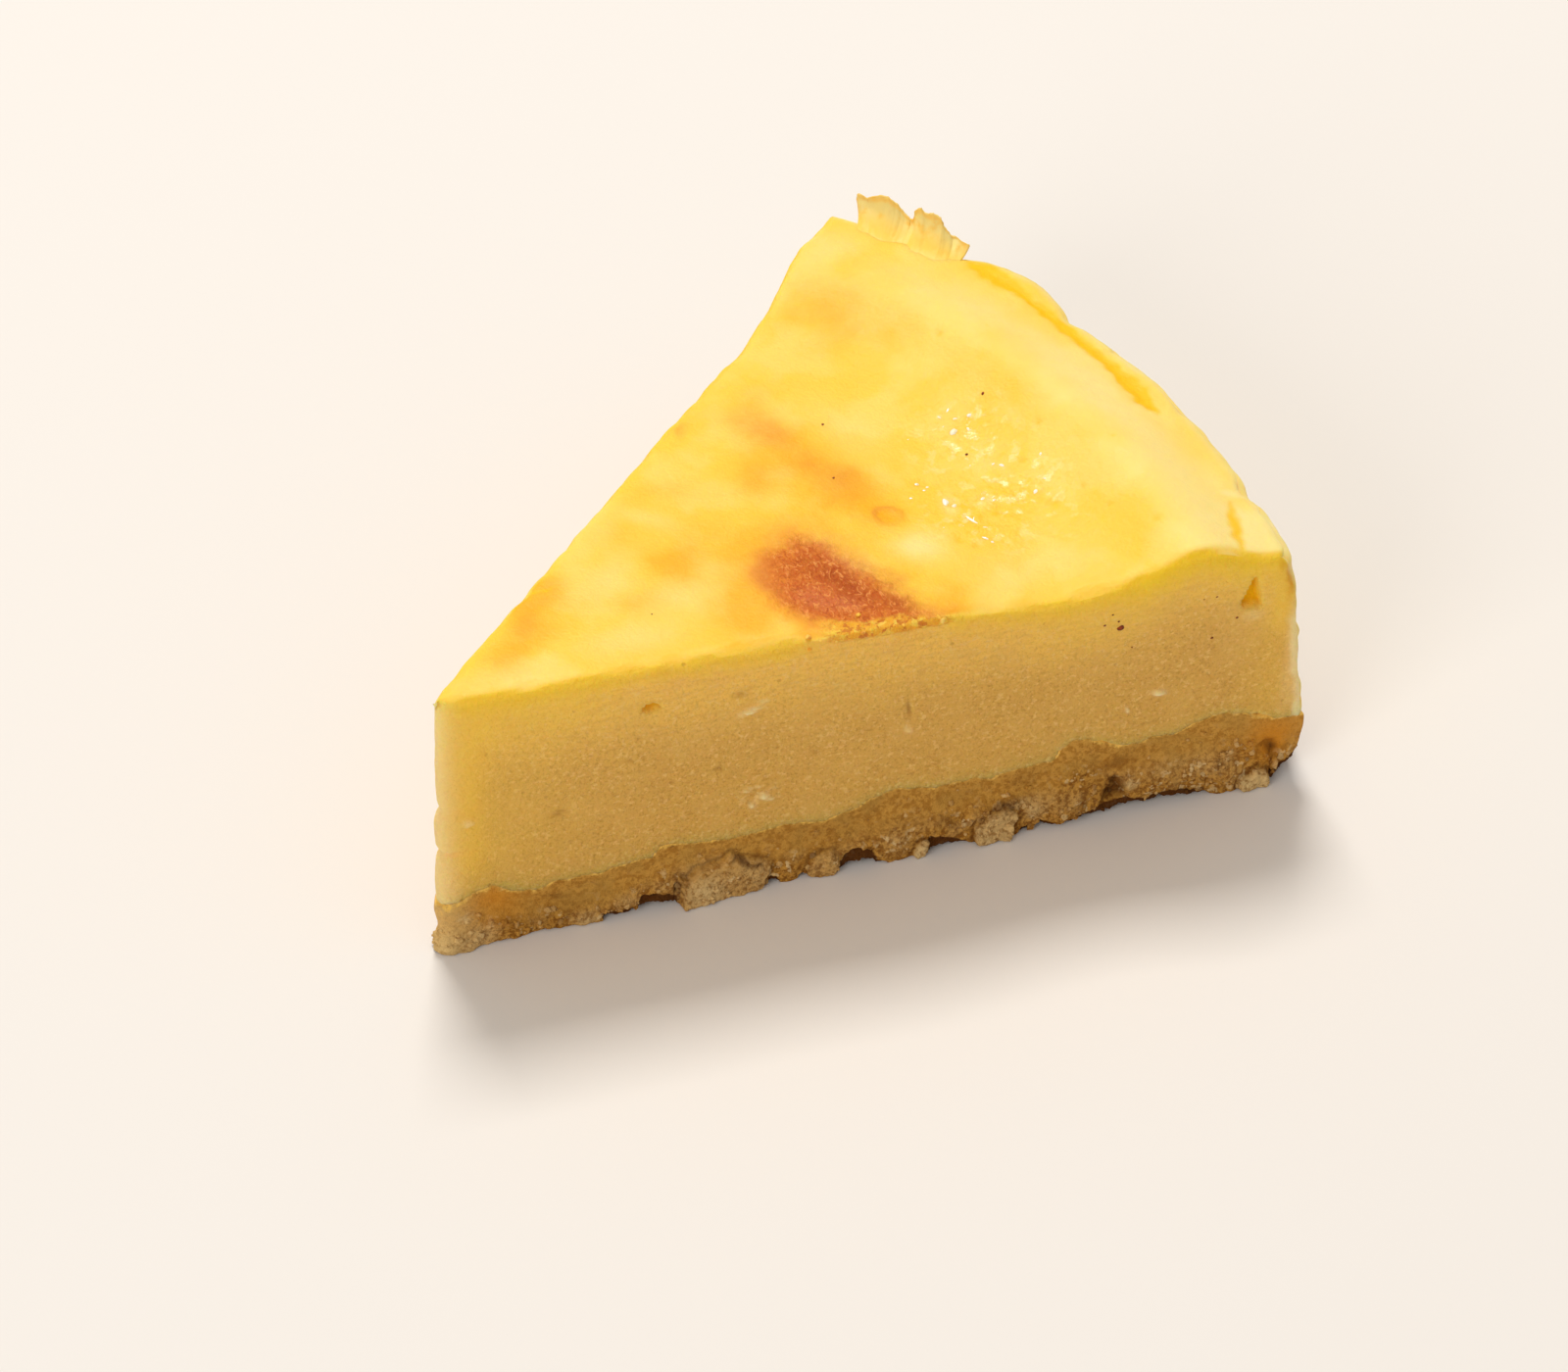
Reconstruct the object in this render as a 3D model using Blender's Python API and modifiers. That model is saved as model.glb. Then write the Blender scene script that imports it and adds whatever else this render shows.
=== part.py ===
"""A slice of baked cheesecake: a smooth set filling on a pressed, crumbly biscuit base.

The slice is worked out round the middle of the whole cake. A place in it is a distance r from the point of the
slice, an angle a (0 along +X, the near cut at NEAR_CUT, the far cut at FAR_CUT) and a height z over the underside.
"""

import math

import bmesh
import bpy
from mathutils import Vector, noise

MM = 0.001

# The whole cake and the way it was cut
TIN_RADIUS = 101.5 * MM
RIM_LEAN = 3.0 * MM
LEAN_HEIGHT = 34.0 * MM
NEAR_CUT = math.radians(-24.0)
FAR_CUT = math.radians(21.6)

# The far cut flares towards the rim: by how much, and where it starts and ends
FAR_FLARE = math.radians(1.3)
FLARE_START, FLARE_END = 70.0 * MM, 95.0 * MM

# The point of the slice, measured from the middle of the slice's own box
POINT_X = -51.6 * MM
POINT_Y = 0.86 * MM

# The filling's top: a slight fall from the point, a sag, then the risen edge of the cake
POINT_HEIGHT = 36.3 * MM
FALL_PER_METRE = 0.029
SAG_RADIUS, SAG_WIDTH, SAG_DEPTH = 71.0 * MM, 9.0 * MM, 1.2 * MM
SWELL_RADIUS, SWELL_WIDTH, SWELL_RISE = 87.5 * MM, 5.6 * MM, 2.5 * MM
FAR_SWELL_SHARE = 0.6

# The seam where the risen edge folded over: how far in from the rim, half width, depth, and its middle and
# half width as angles in degrees
SEAM_INSET, SEAM_WIDTH, SEAM_DEPTH = 3.0 * MM, 1.2 * MM, 1.0 * MM
SEAM_MIDDLE, SEAM_SPREAD = 4.0, 12.0

# Bulges and notches of the rim: angle in degrees, half width in degrees, how far they stand out
RIM_BULGES = (
    (6.0, 14.0, 1.0 * MM),
    (8.0, 3.4, 2.1 * MM),
    (3.5, 0.9, -0.8 * MM),
    (-17.2, 1.1, -0.8 * MM),
)

# Where the filling meets the base, along a cut: a slow rise towards the rim and a few swells
# Each swell is its distance from the point, its half width and its height
JOINT_AT_POINT = 6.6 * MM
JOINT_RISE = 2.6 * MM
NEAR_SWELLS = (
    (5.8 * MM, 1.8 * MM, 1.2 * MM),
    (26.2 * MM, 3.0 * MM, 1.2 * MM),
    (52.3 * MM, 4.4 * MM, 1.8 * MM),
    (61.0 * MM, 2.2 * MM, 0.8 * MM),
    (74.6 * MM, 3.0 * MM, 3.2 * MM),
    (90.2 * MM, 4.2 * MM, 1.9 * MM),
)
SWELL_REACH = 7.0 * MM
WAVE_LENGTH = 13.0 * MM
WAVE_HEIGHT = 1.5 * MM
JOINT_GAP = 0.3 * MM

# Chips out of the base's lower edge along the near cut: distance from the point, half width, height
NEAR_CHIPS = (
    (23.8 * MM, 4.0 * MM, 2.4 * MM),
    (48.2 * MM, 2.0 * MM, 1.6 * MM),
    (58.6 * MM, 2.0 * MM, 2.2 * MM),
    (81.0 * MM, 6.4 * MM, 2.0 * MM),
    (98.6 * MM, 1.6 * MM, 2.2 * MM),
)
CHIP_LENGTH = 9.0 * MM
CHIP_HEIGHT = 2.6 * MM
CHIP_INSET = 1.2 * MM
CRAG_SIZE = 3.6 * MM
CRAG_DEPTH = 0.9 * MM
BASE_FLARE = 0.7 * MM

# The flat triangle that the slice rests on, by distance from the point and share of the way between the cuts.
# The lower edge all round it is lifted a little.
REST_CORNERS = ((9.0 * MM, 0.5), (94.0 * MM, 0.07), (94.0 * MM, 0.93))
EDGE_LIFT = 0.3 * MM

# How round the edges are
POINT_EASE = 1.3 * MM
RIM_EASE = 2.2 * MM
CUT_EASE = 0.7 * MM

# Two air holes in the near cut: distance from the point, height, width, height and depth of the hole
ROUND_HOLE = (25.4 * MM, 29.7 * MM, 2.0 * MM, 1.3 * MM, 1.6 * MM)
TALL_HOLE = (94.2 * MM, 28.4 * MM, 2.6 * MM, 4.4 * MM, 3.0 * MM)

# Scraps of baked skin torn up at the rim: first and last angle in degrees, height, lean outwards
SKIN_SCRAPS = (
    (20.6, 17.2, 2.6 * MM, 1.3 * MM),
    (15.6, 13.0, 4.0 * MM, 1.2 * MM),
)
SKIN_THICKNESS = 0.8 * MM
SKIN_ROOT = 1.3 * MM

# How finely the solids are cut into faces
ROWS = 40
FILLING_LEVELS = 8
BASE_LEVELS = 3
ROW_CLOSING = 0.41
ROW_POWER = 1.35


def bell(distance, width):
    """A smooth bump of height 1 that dies away over the given width."""
    return math.exp(-((distance / width) ** 2))


def shelf(value, low, high):
    """0 below low, 1 above high, and smooth between."""
    t = min(max((value - low) / (high - low), 0.0), 1.0)
    return t * t * (3.0 - 2.0 * t)


def cut_angle(across, r):
    """Angle of a place by its share of the way from the near cut to the far one."""
    far = FAR_CUT + FAR_FLARE * shelf(r, FLARE_START, FLARE_END)
    return NEAR_CUT + across * (far - NEAR_CUT)


def rim_radius(angle, z):
    """Distance from the point to the outside of the cake, which leans out downwards."""
    degrees = math.degrees(angle)
    bulge = sum(rise * bell(degrees - at, width) for at, width, rise in RIM_BULGES)
    return TIN_RADIUS - RIM_LEAN * z / LEAN_HEIGHT + bulge * shelf(z, 20 * MM, 32 * MM)


def top_height(r, angle):
    """Height of the baked top."""
    z = POINT_HEIGHT - FALL_PER_METRE * r
    relief = 1.0 - (1.0 - FAR_SWELL_SHARE) * shelf(angle, 0.0, FAR_CUT)
    z -= relief * SAG_DEPTH * bell(r - SAG_RADIUS, SAG_WIDTH)
    z += relief * SWELL_RISE * bell(r - SWELL_RADIUS, SWELL_WIDTH)
    inset = rim_radius(angle, LEAN_HEIGHT) - r
    seam = SEAM_DEPTH * bell(math.degrees(angle) - SEAM_MIDDLE, SEAM_SPREAD)
    return z - seam * bell(inset - SEAM_INSET, SEAM_WIDTH)


def joint_height(r, angle):
    """Height at which the filling meets the biscuit base."""
    x, y = r * math.cos(angle), r * math.sin(angle)
    z = JOINT_AT_POINT + JOINT_RISE * r / TIN_RADIUS
    near = 1.0 - shelf(r * math.sin(angle - NEAR_CUT), 0.0, SWELL_REACH)
    swell = sum(rise * bell(r - at, width) for at, width, rise in NEAR_SWELLS)
    wave = WAVE_HEIGHT * noise.noise(Vector((x, y, 0.0)) / WAVE_LENGTH)
    return z + near * swell + (1.0 - near) * wave


def eased(point, walls, radius):
    """Rounds an edge or a corner: walls lists (distance to a wall, its inward normal)."""
    close = [(radius - d, n) for d, n in walls if d < radius]
    reach = math.sqrt(sum(p * p for p, _ in close))
    if len(close) < 2 or reach <= radius:
        return point
    return point + sum((n * p * (1.0 - radius / reach) for p, n in close), Vector())


def rounded_point(x, y):
    """Pulls the sharp end of the wedge back onto a small arc between the two cuts."""
    half = (FAR_CUT - NEAR_CUT) / 2
    middle = (FAR_CUT + NEAR_CUT) / 2
    centre = Vector((math.cos(middle), math.sin(middle))) * (POINT_EASE / math.sin(half))
    away = Vector((x, y)) - centre
    beyond = -(away.x * math.cos(middle) + away.y * math.sin(middle))
    if away.length > POINT_EASE and beyond > POINT_EASE * math.sin(half):
        return centre + away * (POINT_EASE / away.length)
    return Vector((x, y))


def wedge_lattice(levels, finer_sides=False):
    """A three-sided prism cut evenly into small faces, its sides twice as finely if asked.

    Returns its bmesh and, for each vertex, how far it is from point to rim, from near cut to far cut and from
    bottom to top, each from 0 to 1.
    """
    bm = bmesh.new()
    bmesh.ops.create_cone(bm, cap_ends=True, segments=3, radius1=1, radius2=1, depth=1)
    tip, near, far = [v.co.xy for v in bm.verts if v.co.z < 0]
    if (near - tip).cross(far - tip) < 0:
        near, far = far, near
    whole = (near - tip).cross(far - tip)

    def level_edges(wanted):
        return [e for e in bm.edges if (abs(e.verts[0].co.z - e.verts[1].co.z) < 1e-6) == wanted]

    bmesh.ops.subdivide_edges(bm, edges=level_edges(False), cuts=levels - 1, use_grid_fill=True)
    bmesh.ops.subdivide_edges(bm, edges=level_edges(True), cuts=ROWS - 1, use_grid_fill=True)
    if finer_sides:
        side_edges = {e for f in bm.faces if abs(f.normal.z) < 0.5 for e in f.edges}
        bmesh.ops.subdivide_edges(bm, edges=list(side_edges), cuts=1, use_grid_fill=True)
    places = {}
    for v in bm.verts:
        to_near = (v.co.xy - tip).cross(far - tip) / whole
        to_far = (near - tip).cross(v.co.xy - tip) / whole
        out = to_near + to_far
        across = to_far / out if out > 1e-6 else 0.5
        places[v] = (min(max(out, 0.0), 1.0), min(max(across, 0.0), 1.0), v.co.z + 0.5)
    return bm, places


def row_share(out):
    """Share of the rim's radius at each row: the rows draw closer together towards the rim."""
    back = 1.0 - out
    return 1.0 - ROW_CLOSING * back - (1.0 - ROW_CLOSING) * back**ROW_POWER


def wall_normals(angle):
    """Inward normals of the near cut, the far cut and the rim."""
    near = Vector((-math.sin(NEAR_CUT), math.cos(NEAR_CUT), 0.0))
    far = Vector((math.sin(FAR_CUT), -math.cos(FAR_CUT), 0.0))
    rim = Vector((-math.cos(angle), -math.sin(angle), 0.0))
    return near, far, rim


def filling_point(out, across, up):
    """Place of one vertex of the filling."""
    share = row_share(out)
    angle = cut_angle(across, share * TIN_RADIUS)
    r = share * rim_radius(angle, LEAN_HEIGHT)
    bottom = joint_height(r, angle) + JOINT_GAP / 2
    top = top_height(r, angle)
    z = bottom + shelf(up, -0.35, 1.12) * (top - bottom) if 0.0 < up < 1.0 else (top if up else bottom)
    r = share * rim_radius(angle, z)
    near, far, rim = wall_normals(angle)
    point = Vector((*rounded_point(r * math.cos(angle), r * math.sin(angle)), z))
    down = Vector((0.0, 0.0, -1.0))
    to_rim = rim_radius(angle, z) - r
    point = eased(point, [(to_rim, rim), (top - z, down)], RIM_EASE)
    to_near, to_far = r * math.sin(angle - NEAR_CUT), r * math.sin(cut_angle(1.0, r) - angle)
    cut, to_cut = (near, to_near) if to_near < to_far else (far, to_far)
    return eased(point, [(to_cut, cut), (top - point.z, down), (to_rim, rim)], CUT_EASE)


def chip_height(point, side):
    """How far the base's lower edge is broken away at a place on its side."""
    if side == "near":
        r = point.xy.length
        return sum(rise * bell(r - at, width) for at, width, rise in NEAR_CHIPS)
    lump = noise.noise(Vector((point.x, point.y, 0.0)) / CHIP_LENGTH + Vector((3.1, 7.4, 0.0)))
    return CHIP_HEIGHT * max(lump, 0.0)


def base_point(out, across, up):
    """Place of one vertex of the biscuit base, before its sides are broken up."""
    share = row_share(out)
    angle = cut_angle(across, share * TIN_RADIUS)
    r = share * rim_radius(angle, LEAN_HEIGHT)
    top = joint_height(r, angle) - JOINT_GAP / 2
    z = up * top
    r = share * rim_radius(angle, joint_height(r, angle) if up == 1.0 else z)
    return Vector((*rounded_point(r * math.cos(angle), r * math.sin(angle)), z))


def side_of(out, across):
    """Names the side of the slice that a place is on, if any."""
    if across < 1e-4 or out < 1e-4:
        return "near"
    if across > 1.0 - 1e-4:
        return "far"
    return "rim" if out > 1.0 - 1e-4 else None


def keep_joint_straight(places, sides):
    """Keeps the added vertices of the base's upper edge on the filling's own straight edges."""
    for v, (out, across, up) in places.items():
        step = ROWS * out if sides[v] != "rim" else ROWS * across
        if up > 0.999 and sides[v] and abs(step - round(step)) > 0.25:
            beside = [e.other_vert(v) for e in v.link_edges]
            ends = [w for w in beside if sides[w] and places[w][2] > 0.999]
            v.co = sum((w.co for w in ends), Vector()) / len(ends)


def break_up_sides(sides):
    """Turns the base's even sides into broken biscuit: lumps, hollows and a chipped lower edge."""
    top_of = {v: max(e.other_vert(v).co.z for e in v.link_edges) for v in sides}
    for v, side in sides.items():
        angle = math.atan2(v.co.y, v.co.x)
        near, far, rim = wall_normals(angle)
        inward = {"near": near, "far": far, "rim": rim}[side]
        if v.co.xy.length < 3.0 * MM:
            inward = Vector((1.0, 0.0, 0.0))
        lumps = noise.voronoi(v.co / CRAG_SIZE)[0][0]
        free = shelf(top_of[v] - v.co.z, 0.0, 1.0 * MM)
        v.co -= inward * free * (CRAG_DEPTH * (1.0 - 2.2 * lumps) + BASE_FLARE)
        if v.co.z < 1e-6:
            chip = chip_height(v.co, side)
            v.co.z = EDGE_LIFT + chip
            v.co += inward * CHIP_INSET * shelf(chip, 0.0, 1.5 * MM)


def close_underside(bm):
    """Fills the open underside with one flat triangle at height 0 and narrow faces from it to the lifted edge."""
    rim = next(v for v in bm.verts if v.is_boundary)
    loop = [rim]
    while True:
        ahead = [e.other_vert(loop[-1]) for e in loop[-1].link_edges if e.is_boundary]
        fresh = [v for v in ahead if v not in loop[-2:] and v is not rim]
        if not fresh:
            break
        loop.append(fresh[0])
    corners = []
    for r, across in REST_CORNERS:
        angle = cut_angle(across, r)
        corners.append(bm.verts.new((r * math.cos(angle), r * math.sin(angle), 0.0)))
    bm.faces.new(corners)
    nearest = [min(corners, key=lambda c: (c.co - v.co).length) for v in loop]
    for here, corner, ahead, next_corner in zip(loop, nearest, loop[1:] + loop[:1], nearest[1:] + nearest[:1]):
        bm.faces.new((here, ahead, corner))
        if next_corner is not corner:
            bm.faces.new((ahead, next_corner, corner))


def material(name, colour, roughness):
    """A plain finish for one sub-part."""
    made = bpy.data.materials.new(name)
    made.use_nodes = True
    shader = made.node_tree.nodes["Principled BSDF"]
    shader.inputs["Base Color"].default_value = (*colour, 1.0)
    shader.inputs["Roughness"].default_value = roughness
    return made


def finished(bm, name, collection, finish):
    """Puts a bmesh into the scene as one object, with the middle of the slice's box at the origin."""
    bmesh.ops.translate(bm, verts=bm.verts, vec=(POINT_X, POINT_Y, 0.0))
    bmesh.ops.recalc_face_normals(bm, faces=bm.faces)
    mesh = bpy.data.meshes.new(name)
    bm.to_mesh(mesh)
    bm.free()
    mesh.materials.append(finish)
    made = bpy.data.objects.new(name, mesh)
    collection.objects.link(made)
    return made


def make_filling(collection, finish):
    """The set filling, with its sagging top, risen rim and lightly rounded cut edges."""
    bm, places = wedge_lattice(FILLING_LEVELS)
    for v, place in places.items():
        v.co = filling_point(*place)
    return finished(bm, "filling", collection, finish)


def make_base(collection, finish):
    """The pressed biscuit base, broken along its sides and flat underneath."""
    bm, places = wedge_lattice(BASE_LEVELS, finer_sides=True)
    sides = {v: side_of(out, across) for v, (out, across, up) in places.items()}
    for v, place in places.items():
        v.co = base_point(*place)
    keep_joint_straight(places, sides)
    break_up_sides({v: side for v, side in sides.items() if side})
    underside = [f for f in bm.faces if all(places[v][2] < 1e-6 for v in f.verts)]
    bmesh.ops.delete(bm, geom=underside, context="FACES")
    close_underside(bm)
    return finished(bm, "biscuit_base", collection, finish)


def make_skin_scrap(index, collection, finish):
    """A thin scrap of baked skin, torn up from the rim and curling outwards."""
    first, last, height, lean = SKIN_SCRAPS[index]
    columns, rows = 8, 4
    bm = bmesh.new()
    bmesh.ops.create_grid(bm, x_segments=columns, y_segments=rows, size=0.5)
    for v in bm.verts:
        along, up = v.co.x + 0.5, v.co.y + 0.5
        angle = math.radians(first + (last - first) * along)
        torn = 1.0 - 0.35 * noise.noise(Vector((along * 5.0, 4.0 * index, 0.5))) - 0.5 * (2 * along - 1) ** 4
        rise = up * height * torn
        root = rim_radius(angle, LEAN_HEIGHT) - RIM_EASE / 2
        r = root + lean * (up**1.6) + 0.4 * MM * math.sin(9.0 * along + 2.0 * index) * up
        z = top_height(root, angle) - SKIN_ROOT + rise + SKIN_ROOT * up
        v.co = Vector((r * math.cos(angle), r * math.sin(angle), z))
    scrap = finished(bm, f"skin_scrap_{index + 1}", collection, finish)
    shell = scrap.modifiers.new("thickness", "SOLIDIFY")
    shell.thickness = SKIN_THICKNESS
    shell.offset = 0.0
    return scrap


def make_hole_cutters(collection):
    """A small round air hole and a tall three-sided one, as cutters standing in the near cut."""
    near = wall_normals(0.0)[0]
    along = Vector((math.cos(NEAR_CUT), math.sin(NEAR_CUT), 0.0))
    bm = bmesh.new()
    for (r, z, width, height, depth), sides in ((ROUND_HOLE, 8), (TALL_HOLE, 3)):
        ring = bmesh.ops.create_cone(
            bm, cap_ends=True, segments=sides, radius1=0.5, radius2=0.25, depth=2.0
        )["verts"]
        for v in ring:
            side, up, into = v.co.x, v.co.y, v.co.z
            v.co = along * (r + side * width) + near * (into * depth) + Vector((0, 0, z + up * height))
    cutter = finished(bm, "air_holes", collection, None)
    cutter.hide_render = True
    cutter.display_type = "WIRE"
    return cutter


def apply_boolean(target, operation, tool=None, tools=None):
    """Joins or cuts a solid, keeps the result as its mesh and removes the tools."""
    step = target.modifiers.new(operation.lower(), "BOOLEAN")
    step.operation = operation
    step.solver = "EXACT"
    if tools is None:
        step.object = tool
    else:
        step.operand_type = "COLLECTION"
        step.collection = tools
    graph = bpy.context.evaluated_depsgraph_get()
    result = bpy.data.meshes.new_from_object(target.evaluated_get(graph))
    target.modifiers.clear()
    old = target.data
    target.data = result
    bpy.data.meshes.remove(old)
    for used in [tool] if tools is None else list(tools.objects):
        bpy.data.objects.remove(used)


def clear_scene():
    """Removes whatever the scene holds, so that the script can run again."""
    for old in list(bpy.data.objects):
        bpy.data.objects.remove(old)


def new_collection(name):
    """A collection in the scene."""
    made = bpy.data.collections.new(name)
    bpy.context.scene.collection.children.link(made)
    return made


def build():
    """Makes the slice."""
    clear_scene()
    slice_parts = new_collection("cheesecake_slice")
    scraps = new_collection("skin_scraps")
    cutters = new_collection("cutters")
    set_filling = material("set_filling", (0.92, 0.66, 0.17), 0.45)
    baked_biscuit = material("baked_biscuit", (0.58, 0.36, 0.14), 0.85)
    filling = make_filling(slice_parts, set_filling)
    make_base(slice_parts, baked_biscuit)
    for index in range(len(SKIN_SCRAPS)):
        make_skin_scrap(index, scraps, set_filling)
    apply_boolean(filling, "UNION", tools=scraps)
    apply_boolean(filling, "DIFFERENCE", tool=make_hole_cutters(cutters))
    for empty in (scraps, cutters):
        bpy.data.collections.remove(empty)


build()
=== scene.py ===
"""The looks of a slice of baked cheesecake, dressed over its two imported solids.

Shapes are worked out in millimetres from the middle of the whole cake, which is the slice's point: x and y
over the plane that it stands on, and z up from it. A place on a cut is also given as its distance from the
point and its height. The last step of each piece moves it to the frame's place and to metres.
"""

import math

import bpy
import numpy as np
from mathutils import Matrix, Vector, noise


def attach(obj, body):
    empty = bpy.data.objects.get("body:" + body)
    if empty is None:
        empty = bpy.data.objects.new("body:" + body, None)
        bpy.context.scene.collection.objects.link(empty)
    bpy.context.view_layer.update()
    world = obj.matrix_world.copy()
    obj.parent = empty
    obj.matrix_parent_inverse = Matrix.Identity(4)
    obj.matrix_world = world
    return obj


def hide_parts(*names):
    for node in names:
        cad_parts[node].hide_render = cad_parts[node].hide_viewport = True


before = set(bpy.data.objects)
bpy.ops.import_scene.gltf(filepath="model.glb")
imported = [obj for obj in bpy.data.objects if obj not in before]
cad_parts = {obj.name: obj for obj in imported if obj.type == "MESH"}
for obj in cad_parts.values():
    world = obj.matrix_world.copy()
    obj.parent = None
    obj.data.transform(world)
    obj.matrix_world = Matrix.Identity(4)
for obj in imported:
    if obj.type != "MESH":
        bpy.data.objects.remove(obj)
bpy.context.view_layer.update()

MM = 0.001

# The point of the slice in the frame
POINT = np.array((-51.6, 0.86, 0.0))

# The whole cake and the way it was cut, as in the solids
TIN_RADIUS = 101.5
RIM_LEAN, LEAN_HEIGHT = 3.0, 34.0
NEAR_CUT, FAR_CUT = math.radians(-24.0), math.radians(21.6)
FAR_FLARE = math.radians(1.3)
FLARE_START, FLARE_END = 70.0, 95.0
POINT_HEIGHT, FALL = 36.3, 0.029
SAG_RADIUS, SAG_WIDTH, SAG_DEPTH = 71.0, 9.0, 1.2
SWELL_RADIUS, SWELL_WIDTH, SWELL_RISE = 87.5, 5.6, 2.5
FAR_SWELL_SHARE = 0.6
JOINT_AT_POINT, JOINT_RISE = 6.6, 2.6
SWELL_REACH, WAVE_LENGTH, WAVE_HEIGHT = 7.0, 13.0, 1.5

# Where the rim bulges out near its top: degrees round the cake, degrees wide, mm out
RIM_BULGES = (
    (6.0, 14.0, 1.0),
    (8.0, 3.4, 2.1),
    (3.5, 0.9, -0.8),
    (-17.2, 1.1, -0.8),
    (11.4, 2.0, 0.9),
    (-4.5, 5.0, 0.5),
)

# The line where the filling meets the base in the near cut: pairs of distance from the point and height
NEAR_JOINT = np.array([
    (0.0, 6.4), (3.0, 7.2), (5.0, 8.0), (7.5, 8.2), (9.5, 7.0), (12.0, 6.3), (14.0, 6.8), (16.0, 7.0),
    (19.0, 6.8), (21.0, 7.0), (23.0, 7.4), (25.2, 7.4), (26.2, 8.7), (28.0, 8.8), (31.0, 8.4),
    (34.0, 8.0), (36.0, 7.8), (38.0, 8.1), (42.0, 8.1), (45.0, 7.8), (47.0, 8.3), (49.0, 8.9),
    (50.2, 9.7), (53.0, 10.2), (56.0, 9.6), (57.6, 8.9), (59.0, 9.4), (62.0, 9.5), (64.2, 8.7),
    (65.4, 9.5), (68.5, 9.7), (71.2, 9.6), (72.2, 11.3), (73.6, 12.1), (75.2, 12.0), (76.4, 10.8),
    (78.4, 9.9), (81.0, 9.6), (83.0, 10.3), (85.4, 9.9), (87.4, 10.6), (89.4, 11.3), (91.4, 11.7),
    (93.4, 11.1), (95.2, 9.8), (97.4, 9.3), (101.5, 8.6),
]).T

# How round the filling's edges are, how blunt the slice's point is, and how far it leans out downwards
RIM_EASE, CUT_EASE, CORNER_EASE = 2.2, 2.0, 0.9
POINT_CUT_BACK, POINT_REACH = 2.06, 4.47
POINT_LEAN, TIP_REACH = 0.9, 4.5

# How finely the filling is cut into faces, how they crowd near its edges, and the middle of its underside
FILLING_ROWS, FILLING_LEVELS, LEVEL_CROWDING = 240, 84, 0.45
ROW_CLOSING, ROW_POWER = 0.41, 1.35
CUT_CROWDING = 0.06
FAN_MIDDLE = 0.62

# Between which two slants a face starts to count as part of a cut, of the rim and of the top
CUT_FACING, RIM_FACING, TOP_FACING = (0.30, 0.75), (0.6, 0.9), (0.25, 0.75)

# The filling and the base overlap at the joint, each dipping in behind the other there, and their colours
# blend, over a longer reach by the point
JOINT_OVERLAP, JOINT_DIP, SOAK_REACH = 0.45, 0.4, 1.2
SOAKED_POINT = (8.0, 15.0)

# Directions out of the two cuts and along them from the point, and the angle midway between them
NEAR_OUT = np.array((math.sin(NEAR_CUT), -math.cos(NEAR_CUT), 0.0))
FAR_OUT = np.array((-math.sin(FAR_CUT), math.cos(FAR_CUT), 0.0))
NEAR_ALONG = np.array((math.cos(NEAR_CUT), math.sin(NEAR_CUT), 0.0))
FAR_ALONG = np.array((math.cos(FAR_CUT), math.sin(FAR_CUT), 0.0))
MIDDLE = (NEAR_CUT + FAR_CUT) / 2


def bell(distance, width):
    """A smooth bump of height 1 that dies away over the given width."""
    return np.exp(-((distance / width) ** 2))


def shelf(value, low, high):
    """0 at low, 1 at high and past it, and smooth between."""
    t = np.clip((value - low) / (high - low), 0.0, 1.0)
    return t * t * (3.0 - 2.0 * t)


def stretch(value, start, rise, end, fall):
    """1 along a stretch, rising smoothly from its start and falling smoothly to its end."""
    return shelf(value, start, start + rise) * shelf(end - value, 0.0, fall)


def grain(points, size, seed=0):
    """Smooth noise, from about -1 to 1, with lumps of the given size at each point."""
    return np.array([noise.noise(p) for p in (points / size + 17.3 * seed).tolist()])


def grit(points, size, seed=0):
    """Many uneven cells: the distance from each point to the middle of its cell, and to the gap round it."""
    found = [noise.voronoi(p)[0] for p in (points / size + 17.3 * seed).tolist()]
    near = np.array([d[0] for d in found])
    gap = np.array([d[1] for d in found]) - near
    return near, gap


def stains(x, y, spots):
    """Strength of soft oval spots, each its x, y, half length, half width, turn in degrees and strength."""
    total = np.zeros(len(x))
    for at_x, at_y, length, width, turn, strength in spots:
        c, s = math.cos(math.radians(turn)), math.sin(math.radians(turn))
        along = (x - at_x) * c + (y - at_y) * s
        aside = (y - at_y) * c - (x - at_x) * s
        total += strength * np.exp(-((along / length) ** 2) - (aside / width) ** 2)
    return total


def line_distance(x, y, start, end):
    """How far each place is from a straight line, and its share of the way along it."""
    (ax, ay), (bx, by) = start, end
    length = (bx - ax) ** 2 + (by - ay) ** 2
    t = np.clip(((x - ax) * (bx - ax) + (y - ay) * (by - ay)) / length, 0.0, 1.0)
    return np.hypot(x - ax - t * (bx - ax), y - ay - t * (by - ay)), t


def stroke(x, y, line):
    """Strength of a soft line, whose points are each x, y, half width and strength."""
    best = np.zeros(len(x))
    for start, end in zip(line, line[1:]):
        away, t = line_distance(x, y, start[:2], end[:2])
        width = start[2] + t * (end[2] - start[2])
        best = np.maximum(best, (start[3] + t * (end[3] - start[3])) * bell(away, width))
    return best


def depth_inside(x, y, outline):
    """Distance in from a closed outline, negative outside it."""
    nearest = np.full(len(x), np.inf)
    crossings = np.zeros(len(x), int)
    for start, end in zip(outline, outline[1:] + outline[:1]):
        nearest = np.minimum(nearest, line_distance(x, y, start, end)[0])
        (ax, ay), (bx, by) = start, end
        level = (y - ay) / (by - ay) if by != ay else np.zeros(len(x))
        crossings += ((y < ay) != (y < by)) & (x < ax + level * (bx - ax))
    return np.where(crossings % 2 == 1, nearest, -nearest)


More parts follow.
